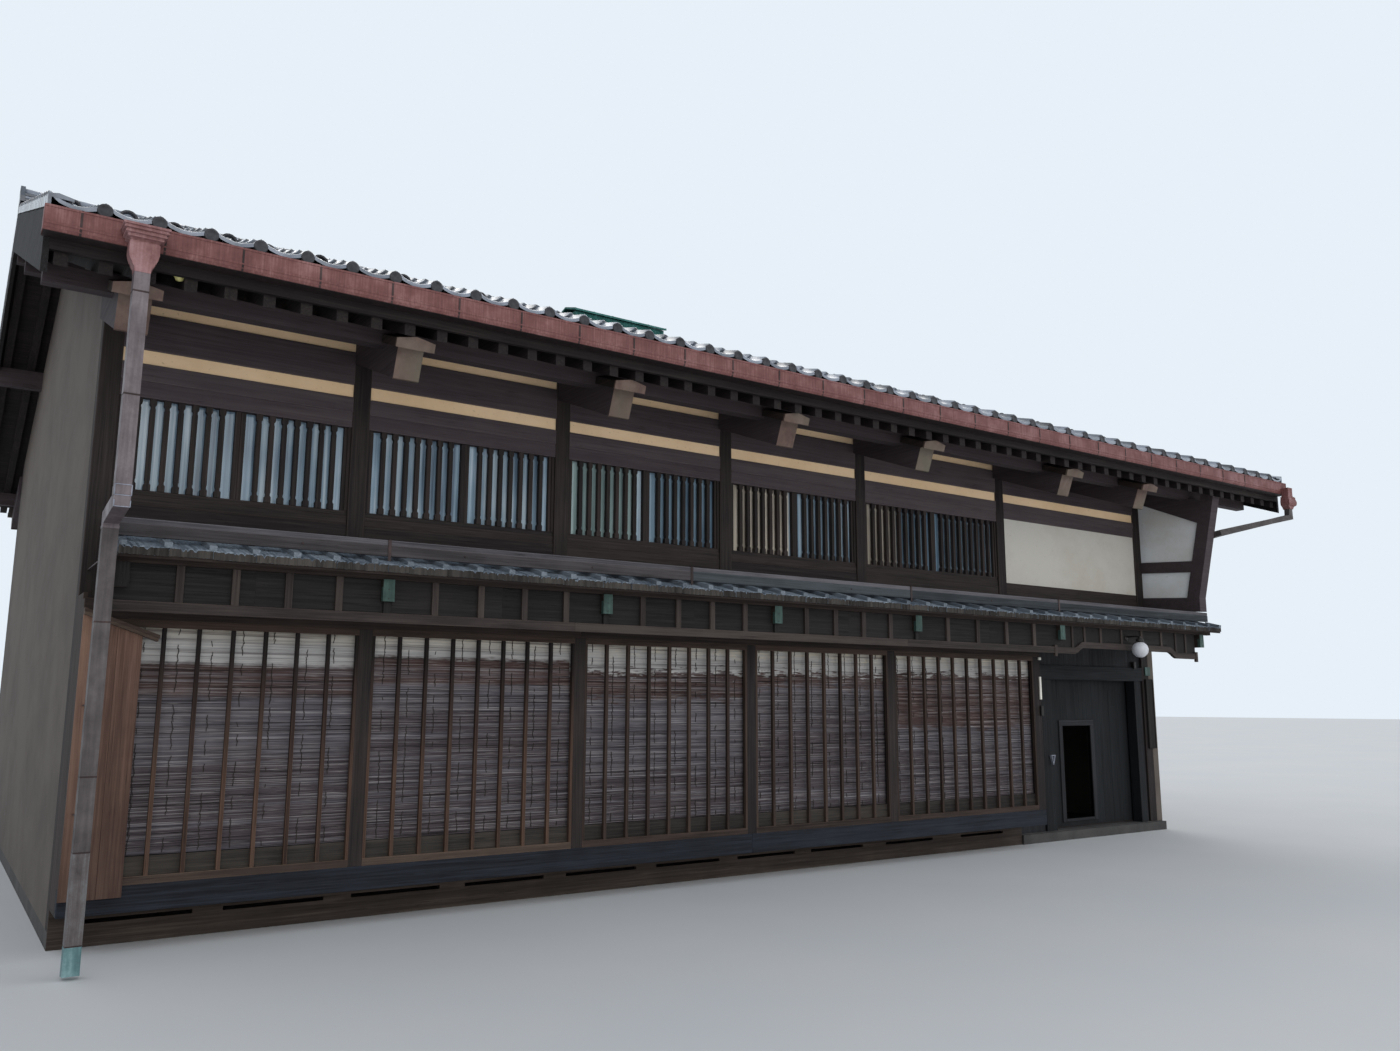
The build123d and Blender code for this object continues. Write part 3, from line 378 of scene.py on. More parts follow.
# The slats darken towards their tops: painted shade under the pent roof
wood("slat_wood", (38, 27, 23), (58, 43, 36), (84, 65, 54), wear=0.5, painted_shade_from=(1.15, 1.95))
wood("sill_wood", (11, 12, 16), (20, 22, 28), (38, 42, 50), wear=0.2)
wood("mid_slat_wood", (30, 23, 20), (46, 37, 33), (70, 57, 50), wear=0.4)
wood("kick_wood", (22, 20, 19), (37, 34, 32), (66, 61, 56), cracks=0.3)
# The wing board darkens towards its bottom with the same painted shade
wood("board_wood", (64, 47, 41), (94, 71, 62), (130, 102, 87), wear=0.2, painted_shade_from=(2.3, -1.0))
# The lower board further right, darker still: painted shade
wood("far_rim_wood", (28, 30, 32), (44, 48, 51), (68, 73, 77), cracks=0.8)
wood("strut_wood", (31, 27, 25), (47, 41, 39), (70, 62, 58))
# Battens: weathered grey with a blue cast of painted skylight
wood("batten_wood", (50, 54, 58), (84, 91, 99), (122, 130, 138), cracks=0.8, rough=0.85)
wood("cad_dark_x", *DARK, axis="x")
wood("cad_dark_y", *DARK, axis="y")
wood("cad_eave_x", *EAVE_PAINTED_LIGHT, axis="x")
wood("cad_eave_y", *EAVE_PAINTED_LIGHT, axis="y")
wood("cad_deep_y", (17, 15, 16), (29, 27, 28), (46, 43, 45), axis="y")
wood("cad_base_x", (38, 32, 29), (58, 50, 45), (86, 75, 68), axis="x")
wood("cad_brown_x", (38, 28, 25), (56, 42, 37), (80, 62, 54), axis="x")
mottled("dark_stone", (44, 43, 43), (74, 72, 71), grit=110, relief=0.003)
mottled("earth", (74, 66, 58), (104, 94, 84))
mottled("iron", (30, 28, 27), (52, 47, 44), rough=0.55, metallic=0.4)
mottled("dark_tile", (26, 26, 29), (60, 60, 64), scale=9.0, rough=0.6, grit=40)
mottled("string", (34, 30, 28), (58, 50, 46), rough=0.9)
mottled("opal", (196, 198, 203), (212, 213, 217), rough=0.35, relief=0.0004, strength=0.1)
mottled("bulb_glass", (196, 190, 120), (214, 208, 140), rough=0.3, relief=0.0004)
mottled("white_paint", (214, 210, 200), (230, 227, 218), rough=0.5)
plaster("white_plaster", (191, 188, 180), (180, 174, 162), (152, 142, 126))
plaster("wing_plaster", (230, 234, 238), (214, 213, 210), (176, 170, 160))
plaster("cream_plaster", (244, 212, 172), (232, 198, 156), (180, 146, 110))
plaster("side_plaster", (96, 88, 81), (80, 72, 66), (66, 58, 52))
sheet_metal("copper", (90, 55, 53), (110, 69, 67), (138, 98, 96), streaks=2.4)
sheet_metal("head_metal", (100, 62, 60), (136, 98, 97), (166, 134, 136))
sheet_metal("sleeve_metal", (62, 56, 56), (90, 84, 84), (112, 120, 122), streaks=1.6)
sheet_metal("pipe_metal", (76, 68, 70), (98, 89, 92), (120, 110, 113), rough=0.5)
sheet_metal("low_pipe_metal", (58, 53, 53), (74, 68, 68), (92, 86, 86))
sheet_metal("cap_metal", (78, 61, 55), (98, 78, 70), (114, 95, 86), streaks=0.4, tint=(96, 90, 77))
sheet_metal("green_copper", (34, 50, 46), (52, 74, 68), (82, 108, 101))
sheet_metal("foot_metal", (62, 88, 90), (92, 124, 127), (130, 160, 162))
sheet_metal("joint_metal", (30, 22, 22), (48, 34, 33), (72, 52, 50))
# Pale metal: painted highlights on the downpipe's seams, and a small pale holder
sheet_metal("seam_metal", (110, 112, 122), (140, 144, 156), (172, 176, 188))
sheet_metal("under_metal", (28, 22, 22), (42, 33, 33), (58, 46, 46))
sheet_metal("vent_metal", (30, 74, 69), (42, 98, 92), (78, 134, 128))
glazed_tile("glazed_tile")
reeds("reed")
window_panes("window_pane")


# Mesh building
SIGNS = [(x, y, z) for x in (-1, 1) for y in (-1, 1) for z in (-1, 1)]


def chamfered_faces():
    """Faces of a box with cut edges. Vertex 3 * corner + axis lies in the face across that axis."""
    plain, cut = [], []
    for a in range(3):
        b, c = (a + 1) % 3, (a + 2) % 3

        def corner(side, sb, sc):
            signs = [0, 0, 0]
            signs[a], signs[b], signs[c] = side, sb, sc
            return 3 * SIGNS.index(tuple(signs))

        for side in (-1, 1):
            plain.append([corner(side, sb, sc) + a for sb, sc in ((-1, -1), (1, -1), (1, 1), (-1, 1))])
        for sb in (-1, 1):
            for sc in (-1, 1):
                i, j = corner(-1, sb, sc), corner(1, sb, sc)
                cut.append([i + b, i + c, j + c, j + b])
    cut += [[3 * i, 3 * i + 1, 3 * i + 2] for i in range(8)]
    return plain, cut


PLAIN, CUT = chamfered_faces()


def grid_faces(rows, columns):
    """Faces between rows of points, this many faces to a row."""
    width = columns + 1
    starts = [row * width + k for row in range(rows - 1) for k in range(columns)]
    return [[a, a + 1, a + width + 1, a + width] for a in starts]


class Pile:
    """Collects shapes in millimetres and becomes one mesh object in metres."""

    def __init__(self):
        self.verts, self.faces, self.grain, self.tone = [], [], [], []
        self.worn, self.material, self.smooth = [], [], []

    def add(self, verts, faces, grain=None, tone=None, worn=None, material=0, smooth=False):
        base = len(self.verts)
        self.verts += [tuple(v) for v in verts]
        self.faces += [[base + i for i in f] for f in faces]
        tone = rng.random() if tone is None else tone
        if grain is None:
            grain = self.grain_of(verts, 0)
        self.grain += [tuple(g) for g in grain]
        self.tone += [tone] * len(verts)
        self.worn += worn if worn else [0.0] * len(faces)
        self.material += [material] * len(faces)
        self.smooth += [smooth] * len(faces)

    def grain_of(self, points, axis):
        order = [axis, (axis + 1) % 3, (axis + 2) % 3]
        shift = np.array([rng.uniform(-20, 20) for _ in range(3)])
        return np.array(points, float)[:, order] * MM + shift

    def board(self, xs, ys, zs, chamfer=2.0, axis=None, material=0, turn=None, tone=None):
        """A piece of timber between these limits, its grain along its longest side."""
        low, high = np.sort(np.array([xs, ys, zs], float)).T
        centre, half = (low + high) / 2, (high - low) / 2
        if axis is None:
            axis = int(np.argmax(half))
        c = min(chamfer, 0.3 * float(half.min()))
        points = []
        for signs in SIGNS:
            for a in range(3):
                point = np.array(signs, float) * (half - c)
                point[a] = signs[a] * half[a]
                points.append(point)
        points = np.array(points)
        grain = self.grain_of(points, axis)
        if turn is not None:
            points = points @ np.array(Euler(turn).to_matrix()).T
        self.add(points + centre, PLAIN + CUT, grain, tone, [0.0] * len(PLAIN) + [1.0] * len(CUT), material)

    def front(self, xs, outs, zs, chamfer=2.0, **rest):
        """A board whose faces lie these distances in front of the front wall."""
        self.board(xs, (out(outs[0]), out(outs[1])), zs, chamfer, **rest)

    def rings(self, rings, ends=(True, True), **rest):
        """A skin over rings of points, closed at its ends."""
        n = len(rings[0])
        last = (len(rings) - 1) * n
        faces = [[a + k, a + (k + 1) % n, a + n + (k + 1) % n, a + n + k] for a in range(0, last, n) for k in range(n)]
        faces += [list(range(a, a + n)) for a, closed in zip((0, last), ends) if closed]
        self.add([p for ring in rings for p in ring], faces, **rest)

    def prism(self, first, second, axis=0, **rest):
        """Joins two matching outlines of 3-D points."""
        first, second = list(first), list(second)
        self.rings([first, second], grain=self.grain_of(first + second, axis), **rest)

    def along_x(self, points, xs, axis=0, **rest):
        """A (y, z) outline pushed from one x to another."""
        self.prism([(xs[0], y, z) for y, z in points], [(xs[1], y, z) for y, z in points], axis, **rest)

    def along_y(self, points, ys, axis=1, **rest):
        """An (x, z) outline pushed from one y to another."""
        self.prism([(x, ys[0], z) for x, z in points], [(x, ys[1], z) for x, z in points], axis, **rest)

    def profile(self, points, xs, sign=1, **rest):
        """An outline of distances in front of the wall and heights, pushed along x. Sign -1 is the back."""
        self.along_x([(sign * out(d), z) for d, z in points], xs, **rest)

    def lathe(self, profile, centre, axis=2, sides=24, **rest):
        """Turns (radius, height) points about an axis through the centre."""
        rings = []
        for r, h in profile:
            ring = []
            for t in steps(0, 2 * math.pi, sides)[:-1]:
                p = [0, 0, 0]
                p[axis], p[(axis + 1) % 3], p[(axis + 2) % 3] = h, r * math.cos(t), r * math.sin(t)
                ring.append([p[i] + centre[i] for i in range(3)])
            rings.append(ring)
        self.rings(rings, (profile[0][0] > 0, profile[-1][0] > 0), **{"smooth": True, **rest})

    def tube(self, path, radius, sides=10, **rest):
        """A round bar that follows these points."""
        path = [Vector(p) for p in path]
        rings = []
        for i, p in enumerate(path):
            ahead = (path[min(i + 1, len(path) - 1)] - path[max(i - 1, 0)]).normalized()
            side = ahead.orthogonal().normalized()
            if abs(ahead.z) < 0.95:
                side = ahead.cross(Vector((0, 0, 1))).normalized()
            other = ahead.cross(side)
            turns = steps(0, 2 * math.pi, sides)[:-1]
            rings.append([p + radius * (math.cos(t) * side + math.sin(t) * other) for t in turns])
        self.rings(rings, **{"smooth": True, **rest})

    def build(self, name, slot, materials, replaces=(), body="house", weld=False):
        mesh = bpy.data.meshes.new(name)
        mesh.from_pydata([(x * MM, y * MM, z * MM) for x, y, z in self.verts], [], self.faces)
        for label, kind, domain, values in (
            ("grain", "FLOAT_VECTOR", "POINT", self.grain),
            ("tone", "FLOAT", "POINT", self.tone),
            ("worn", "FLOAT", "FACE", self.worn),
        ):
            layer = mesh.attributes.new(label, kind, domain)
            flat = np.array(values, np.float32).ravel()
            layer.data.foreach_set("vector" if kind == "FLOAT_VECTOR" else "value", flat)
        for material in materials.split():
            mesh.materials.append(looks[material])
        mesh.polygons.foreach_set("material_index", self.material)
        mesh.polygons.foreach_set("use_smooth", self.smooth)
        work = bmesh.new()
        work.from_mesh(mesh)
        if weld:
            bmesh.ops.remove_doubles(work, verts=work.verts, dist=0.00001)
        bmesh.ops.recalc_face_normals(work, faces=work.faces)
        work.to_mesh(mesh)
        work.free()
        piece = bpy.data.objects.new(name, mesh)
        bpy.context.scene.collection.objects.link(piece)
        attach(piece, body)
        if replaces:
            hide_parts(*replaces)


# CAD nodes that keep their shape
for look, names in {
    "dark_stone": "foundation threshold",
    "cad_base_x": "base_boards",
    "cad_dark_x": "door_tracks roof_boards",
    "cad_dark_y": "rafters",
    # The lighter eave woods here are painted light under the eaves
    "cad_eave_x": "wall_plates purlins wing_frame",
    "cad_eave_y": "eave_arms",
    "cad_deep_y": "bargeboards",
    "cad_brown_x": "upper_floor",
    "white_plaster": "plaster_panels",
    "wing_plaster": "wing_panels",
    "side_plaster": "party_walls",
    "cream_plaster": "plaster_strips",
    "window_pane": "window_glass",
    "earth": "tile_bedding",
}.items():
    for name in names.split():
        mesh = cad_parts[name].data
        mesh.materials.clear()
        mesh.materials.append(looks[look])

# Posts of the front and back walls
pile = Pile()
for x in POST_X:
    for ys in ((FRONT, FRONT + POST_DEPTH), (-FRONT - POST_DEPTH, -FRONT)):
        pile.board(around(x, HALF_POST), ys, (FLOOR_TOP, HIGH_STRIP_TOP), 5)
pile.build("wall_posts", "dark_wood", "dark_wood", ["posts"])

# Beams, sills and rails of the upper storey, each of two or three timbers
bays = [(a + HALF_POST, b - HALF_POST) for a, b in pairs(POST_X)]
pile = Pile()
for sign in (1, -1):
    for i, sides in enumerate(bays):
        low, high = (PANEL_BOTTOM, PANEL_TOP) if i == 5 else (UPPER_SILL_TOP, WINDOW_TOP)
        for z0, z1, back in (
            (GIRDER_BOTTOM, GIRDER_TOP, 0), (GIRDER_TOP, FLOOR_BEAM_TOP, 0), (FLOOR_BEAM_TOP, low, 14),
            (high, high + 130, 6), (high + 130, HEAD_RAIL_TOP, 0), (LOW_STRIP_TOP, BEAM_TOP, 0),
        ):
            ys = (sign * (FRONT + back), sign * (FRONT + POST_DEPTH))
            # From the window heads up the timbers take the lighter eave wood: painted light
            pile.board(sides, ys, (z0, z1), 4, material=int(z0 >= WINDOW_TOP))
pile.build("wall_timbers", "dark_wood", "dark_wood eave_wood", ["wall_beams"])


# Upper windows: sills, stiles and bars with necks at both ends
def neck_bar(pile, x, ys):
    """One window bar, wider at its foot and head, with a neck beside each."""
    z0, z1 = WINDOW_BOTTOM, WINDOW_TOP
    wide, bar, neck = 50, 38, 38 * 0.8
    widths = [
        (z0, wide), (z0 + 46, wide), (z0 + 58, neck), (z0 + 74, neck), (z0 + 86, bar),
        (z1 - 86, bar), (z1 - 74, neck), (z1 - 58, neck), (z1 - 46, wide), (z1, wide),
    ]
    outline = [(x - w / 2, z) for z, w in widths] + [(x + w / 2, z) for z, w in reversed(widths)]
    pile.along_y(outline, ys, axis=2)


pile = Pile()
front_windows = [(b, FRONT + 20, 1) for b in bays[:5]]
back_windows = [(bays[i], -FRONT - 20, -1) for i in (1, 4)]
for (left, right), face, inward in front_windows + back_windows:
    middle = (left + right) / 2

    def deep(a, b):
        return sorted((face + inward * a, face + inward * b))

    for z0, z1, back in ((UPPER_SILL_TOP, WINDOW_BOTTOM - 44, 0), (WINDOW_BOTTOM - 44, WINDOW_BOTTOM, 8)):
        pile.board((left, right), deep(back, 60), (z0, z1), 3)
    for x0, x1, back in (
        (left, left + 26, 2), (left + 26, left + 52, 16), (right - 52, right - 26, 16), (right - 26, right, 2),
        (middle - 40, middle - 2, 8), (middle + 2, middle + 40, 16),
    ):
        pile.board((x0, x1), deep(back, 60), (WINDOW_BOTTOM, WINDOW_TOP))
    for x0, x1 in ((left + 40, middle - 40), (middle + 40, right - 40)):
        for x in steps(x0, x1, round((x1 - x0) / 109))[1:-1]:
            neck_bar(pile, x, deep(0, 42))
pile.build("barred_windows", "brown_wood", "dark_wood", ["upper_windows"])

# Projecting lattice: sill, posts, lintel
post_sides = [around(x, 56.5) for x in POST_X[1:5]]
post_sides = [(WALL_LEFT, WALL_LEFT + 60), *post_sides, (LATTICE_RIGHT - 139, LATTICE_RIGHT)]
face_outs = (LATTICE_OUT, LATTICE_OUT - 100)
pile = Pile()
for xs in pairs([WALL_LEFT, POST_X[3], LATTICE_RIGHT]):
    pile.front(xs, face_outs, (SILL_BOTTOM, SILL_TOP), 6, material=1)
for xs in post_sides:
    pile.front(xs, face_outs, (SILL_TOP, LINTEL_BOTTOM), 4)
for xs in pairs([WALL_LEFT, POST_X[2], LATTICE_RIGHT]):
    pile.front(xs, face_outs, (LINTEL_BOTTOM, LINTEL_TOP), 4, material=2)
pile.build("lattice_timbers", "dark_wood", "dark_wood sill_wood low_wood", ["lattice_frame"])

# Lattice rails, slats and low boards
lattice_bays = [(a[1], b[0]) for a, b in pairs(post_sides)]
slat_outs, slat_heights = (LATTICE_OUT, LATTICE_OUT - 40), (SLAT_BOTTOM, LATTICE_TOP)
pile = Pile()
for number, (left, right) in enumerate(lattice_bays):
    slat_kind, rail_kind = (0, 1) if number < 2 else (2, 2)
    pile.front((left, right), slat_outs, (SILL_TOP, SLAT_BOTTOM), 3, material=rail_kind)
    pile.front((left, right), slat_outs, (LATTICE_TOP, LINTEL_BOTTOM), 3, material=2)
    for xs in ((left, left + 22), (right - 22, right)):
        pile.front(xs, slat_outs, slat_heights, material=slat_kind)
    for x in steps(left, right, round((right - left) / SLAT_PITCH))[1:-1]:
        pile.front(around(x + rng.uniform(-1.5, 1.5), 14), slat_outs, slat_heights, 3, material=slat_kind)
    pile.front((left, right), (LATTICE_OUT - 40, LATTICE_OUT - 55), (SILL_TOP, BLIND_BOTTOM), material=3)
pile.build("lattice_slats", "brown_wood", "slat_wood rail_wood mid_slat_wood kick_wood", ["lattice"])

# Blinds of split reeds, tied with strings
pile = Pile()
columns = 6
count = int((LINTEL_BOTTOM - BLIND_BOTTOM) / 9)
pitch = (LINTEL_BOTTOM - BLIND_BOTTOM) / count
y = out(LATTICE_OUT - 75)
for left, right in lattice_bays:
    sag = [0, *[rng.uniform(-2.5, 2.5) for _ in range(columns - 1)], 0]
    points = []
    for i in range(count):
        bulge = rng.uniform(1.5, 4.0)
        for dz, dy in ((0.08, 0.0), (0.35, -bulge), (0.7, -bulge), (0.95, 0.0)):
            z = BLIND_BOTTOM + (i + dz) * pitch
            points += [(x, y + 5 + dy + s, z) for x, s in zip(steps(left, right, columns), sag)]
    pile.add(points, grid_faces(4 * count, columns))
    pile.board((left, right), (y + 8, y + 12), (BLIND_BOTTOM, LINTEL_BOTTOM), 1)
    x = left + SLAT_PITCH / 2
    while x < right - 20:
        offset = rng.uniform(-14, 14)
        z = BLIND_BOTTOM + 12
        while z < LINTEL_BOTTOM - 12:
            length = rng.uniform(26, 44)
            xs = around(x + offset + rng.uniform(-5, 5), 2.2)
            lean = rng.uniform(-0.3, 0.3)
            pile.board(xs, around(y, 3), (z, z + length), 0.5, material=1, turn=(0, lean, 0))
            z += length * 0.8 if rng.random() < 0.8 else rng.uniform(60, 200)
        x += SLAT_PITCH
pile.build("reed_blinds", "reed", "reed string", ["blinds"])

# Sides of the lattice box and boards over its lintel
pile = Pile()
pile.front((WALL_LEFT, LATTICE_RIGHT), (328, 0), (SILL_BOTTOM, SILL_BOTTOM + 30), 3)
for x0 in (WALL_LEFT, LATTICE_RIGHT - 30):
    for k in range(3):
        outs = (328 - 109.3 * k, 328 - 109.3 * (k + 1))
        pile.front((x0, x0 + 30), outs, (SILL_BOTTOM + 30, PENT_ARM_BOTTOM))
top = pent_top(LATTICE_OUT) - 70
for before, after in pairs(PENT_ARM_X[:6]):
    for zs in pairs([LINTEL_TOP, (LINTEL_TOP + top) / 2, top]):
        pile.front((before + ARM_HALF, after - ARM_HALF), (LATTICE_OUT, LATTICE_OUT - 30), zs)
pile.build("lattice_box_boards", "dark_wood", "low_wood", ["lattice_boards"])

# Wing board at the left, of upright boards under a sloping cap
WING_TOP, WING_END = 2340, -6373


def wing_top(x):
    return WING_TOP + (2200 - WING_TOP) * (x - WALL_LEFT) / (WING_END - WALL_LEFT)


pile = Pile()
for x0, x1 in pairs([WALL_LEFT, -6650, -6535, WING_END]):
    outline = [(x0 + 1, 385), (x1 - 1, 385), (x1 - 1, wing_top(x1)), (x0 + 1, wing_top(x0))]
    pile.along_y(outline, (out(LATTICE_OUT + 30), out(LATTICE_OUT)), axis=2)
for lift, depth, end in ((0, 84, -6278), (22, 90, -6270)):
    low = [(WALL_LEFT, WING_TOP + lift), (end, wing_top(-6270) + lift)]
    outline = low + [(x, z + 23) for x, z in reversed(low)]
    pile.along_y(outline, (out(LATTICE_OUT + depth), out(LATTICE_OUT)), axis=0, material=1)
pile.build("wing_board_timbers", "dark_wood", "board_wood rail_wood", ["wing_board"])

# Entrance: jambs, lintel, and upright boards
jamb = (FLOOR_TOP, DOOR_HEAD)
pile = Pile()
for x0, x1, recess in ((4340, 4474, 0), (4474, 4560, 12), (6406, 6530, 0)):
    pile.front((x0, x1), (-recess, -POST_DEPTH), jamb, 4)
pile.front(bays[5], (0, -POST_DEPTH), (DOOR_HEAD, DOOR_HEAD + 192), 5)
pile.build("entrance_timbers", "dark_wood", "door_wood", ["entrance_frame"])
pile = Pile()
for (x0, x1), zs in (
    ((bays[5][0], 4340), jamb), ((6530, bays[5][1]), jamb), (bays[5], (DOOR_HEAD + 192, GIRDER_BOTTOM)),
):
    for xs in pairs(steps(x0, x1, max(1, round((x1 - x0) / 290)))):
        pile.front(xs, (-30 - rng.uniform(0, 3), -60), zs, 3, axis=2)
pile.build("entrance_boarding", "dark_wood", "over_door_wood", ["entrance_boards"])

# Great door: planks, a wicket frame and rails behind
leaf_front, leaf_back = FRONT + 165, FRONT + 215
leaf_x, leaf_z = (4520, 6446), (140.3, 2098)
wicket_left, wicket_right, wicket_bottom, wicket_top = 4948, 5554, 228, 1447
pile = Pile()
for x0, x1 in pairs([leaf_x[0], 4873, 5066, 5251, 5432, 5629, 5795, 6010, 6228, leaf_x[1]]):
    plank_y = (leaf_front + rng.uniform(0, 2.5), leaf_back - 12)
    spans = [leaf_z]
    if x0 < wicket_right and x1 > wicket_left:
        spans = [(leaf_z[0], wicket_bottom), (wicket_top, leaf_z[1])]
        for a, b in ((x0, wicket_left), (wicket_right, x1)):
            if a < b:
                pile.board((a, b), plank_y, (wicket_bottom, wicket_top))
    for zs in spans:
        pile.board((x0, x1), plank_y, zs, 2.5, axis=2)
for x0, x1, z0, z1 in (
    (wicket_left - 75, wicket_left, wicket_bottom - 37, wicket_top),
    (wicket_right, wicket_right + 75, wicket_bottom - 37, wicket_top),
    (wicket_left - 75, wicket_right + 75, wicket_top, wicket_top + 75),
    (wicket_left, wicket_right, wicket_bottom - 37, wicket_bottom),
):
    pile.board((x0, x1), (leaf_front - 15, leaf_back - 5), (z0, z1), 4, material=1)
for xs, z in (
    (leaf_x, 1560), (leaf_x, 1960), ((leaf_x[0], wicket_left - 2), 300), ((wicket_right + 2, leaf_x[1]), 300),
):
    pile.board(xs, (leaf_back - 12, leaf_back), (z, z + 90))
for x in (4700, 5750, 6290):
    for z in (345, 1605, 2005):
        pile.lathe([(0, -5), (6, -4), (8, 0)], (x, leaf_front, z), axis=1, sides=10, material=2)
pile.build("great_door_leaf", "dark_wood", "door_wood over_door_wood iron", ["great_door"], body="great_door")

# Name board with bevelled edges, left bare
pile = Pile()
pile.front((6652, 6822), (22, 0), (1118, 2090), 6)
for x0, x1, z0, z1 in (
    (6652, 6662, 1118, 2090), (6812, 6822, 1118, 2090), (6662, 6812, 1118, 1128), (6662, 6812, 2080, 2090),
):
    pile.front((x0, x1), (30, 22), (z0, z1))
pile.build("bare_name_board", "brown_wood", "deep_wood", ["name_board"])

# Globe lamp on a curved arm
pile = Pile()
x, d, z = 4990, 1050, 2421
globe = [(100 * math.sin(t), -100 * math.cos(t)) for t in steps(0, math.pi, 18)[:17]]
pile.lathe(globe, (x, out(d), z), sides=32)
pile.lathe([(46, 96), (48, 104), (48, 128), (40, 138), (18, 146), (14, 170)], (x, out(d), z), material=1)
curve = [(x, out(d - 70 * (1 - math.cos(t))), z + 150 + 20 * math.sin(t)) for t in steps(0, math.pi / 2, 8)]
pile.tube(curve + [(x, out(862), z + 170)], 11, material=1)
pile.lathe([(34, 0), (34, -5), (26, -12), (12, -16)], (x, out(858), z + 150), axis=1, sides=20, material=1)
pile.build("globe_lamp_glass", "opal_glass", "opal iron", ["globe_lamp"])

# Pent roof arms and their folded copper caps
pile = Pile()
for x in PENT_ARM_X:
    pile.front(around(x, ARM_HALF), (912, 0), (PENT_ARM_BOTTOM, PENT_ARM_TOP), 3)
outline = [(840, PENT_ARM_TOP), (898, PENT_ARM_TOP), (898, pent_top(898) - 60), (840, pent_top(840) - 60)]
pile.profile(outline, (PENT_LEFT, PENT_RIGHT - 60))
pile.build("pent_arm_timbers", "dark_wood", "low_wood", ["pent_arms"])
pile = Pile()
for x in PENT_ARM_X:
    kind = 2 if x == PENT_ARM_X[0] else 0
    pile.front(around(x, ARM_HALF), (918, 912), (PENT_ARM_BOTTOM, PENT_ARM_TOP), material=kind)
    for x0 in (x - ARM_HALF - 2, x + ARM_HALF):
        pile.front((x0, x0 + 2), (917, 880), (PENT_ARM_BOTTOM - 1, PENT_ARM_TOP - 60), 0.5, material=kind)
    for z in (PENT_ARM_BOTTOM + 22, PENT_ARM_TOP - 78):
        pile.lathe([(0, -3), (4, -2), (5, 0)], (x, out(918), z), axis=1, sides=8, material=1)
pile.build("pent_arm_copper", "green_copper", "green_copper iron deep_wood", ["pent_arm_caps"])

# Valance: recessed panels behind struts, and a bottom rail
valance_split = POST_X[5] - 160
pile = Pile()
for before, after in pairs([PENT_LEFT - ARM_HALF] + PENT_ARM_X[1:6]):
    x0, x1 = before + ARM_HALF, min(after - ARM_HALF, valance_split)
    # The recessed panels take the very dark wood: painted shade
    for xs in pairs([x0, (x0 + x1) / 2, x1]):
        pile.front(xs, PANEL_OUT, (VALANCE_BOTTOM, PENT_ARM_TOP), axis=0)
for x in PENT_ARM_X[1:5]:
    pile.front(around(x, ARM_HALF), PANEL_OUT, (VALANCE_BOTTOM, PENT_ARM_BOTTOM), axis=0)
for xs in pairs([PENT_LEFT, POST_X[2] - 300, POST_X[4] - 200, valance_split]):
    pile.front(xs, RAIL_OUT, (VALANCE_BOTTOM, RAIL_TOP), 4, material=1)
for before, after in pairs(PENT_ARM_X[:6]):
    for x in steps(before, after, 5)[1:-1]:
        if x + 26 < valance_split:
            pile.front(around(x, 26), RAIL_OUT, (RAIL_TOP, PENT_ARM_TOP), material=1)
for x in PENT_ARM_X[1:5]:
    pile.front(around(x, 26), RAIL_OUT, (RAIL_TOP, PENT_ARM_BOTTOM))
for x in (3512, 6548):
    pile.front(around(x, 22), (892, 858), (2306, 2440), material=1)
pile.build("valance_panels", "dark_wood", "deep_wood strut_wood", ["valance"])

# Entrance valance: a dark panel behind a rail that rises in an arch over the door
ARCH_LEFT, ARCH_RIGHT, SHOULDER, RISE = 3870, 6095, 200, 76
RAIL_HIGH, VALANCE_END = RAIL_TOP - VALANCE_BOTTOM, 6560


def arch(x):
    """The height of the rail's lower edge: two smooth shoulders up to the level part."""
    share = min(x - ARCH_LEFT, ARCH_RIGHT - x) / SHOULDER
    return VALANCE_BOTTOM + RISE * (1 - math.cos(math.pi * min(max(share, 0), 1))) / 2


pile = Pile()
shoulders = steps(ARCH_LEFT, ARCH_LEFT + SHOULDER, 12) + steps(ARCH_RIGHT - SHOULDER, ARCH_RIGHT, 12)
arm_sides = around(PENT_ARM_X[5], ARM_HALF)
panel_y, rail_y = [(out(a), out(b)) for a, b in (PANEL_OUT, RAIL_OUT)]
# The panels take the very dark wood: painted shade
for x0, x1, top in ((valance_split, arm_sides[0], PENT_ARM_TOP), (*arm_sides, PENT_ARM_BOTTOM)):
    outline = [(x0, VALANCE_BOTTOM), (x1, VALANCE_BOTTOM), (x1, top), (x0, top)]
    pile.along_y(outline, panel_y, axis=0)
for a, b in pairs([arm_sides[1], *shoulders, VALANCE_END]):
    outline = [(a, arch(a)), (b, arch(b)), (b, PENT_ARM_TOP), (a, PENT_ARM_TOP)]
    pile.along_y(outline, panel_y, axis=0, tone=0.5)
edges = [valance_split, *shoulders, VALANCE_END]
outline = [(x, arch(x)) for x in edges] + [(x, arch(x) + RAIL_HIGH) for x in reversed(edges)]
pile.along_y(outline, rail_y, axis=0, material=1)
pile.build("entrance_valance_arch", "dark_wood", "deep_wood strut_wood", ["entrance_valance"], weld=True)

# Struts of the entrance valance and the thin edge under the pent boards
pile = Pile()
for x in (3870, 4115, 4440, 4880, 5320, 5760, 6095, 6330):
    pile.front(around(x, 20), (872, 858), (arch(x) + RAIL_HIGH, PENT_ARM_TOP))
outline = [(d, pent_top(d) - drop) for d, drop in ((1010, 60), (1010, 84), (925, 90), (925, 60))]
pile.profile(outline, (PENT_LEFT, PENT_RIGHT), material=1)
pile.build("valance_struts", "dark_wood", "strut_wood low_wood")

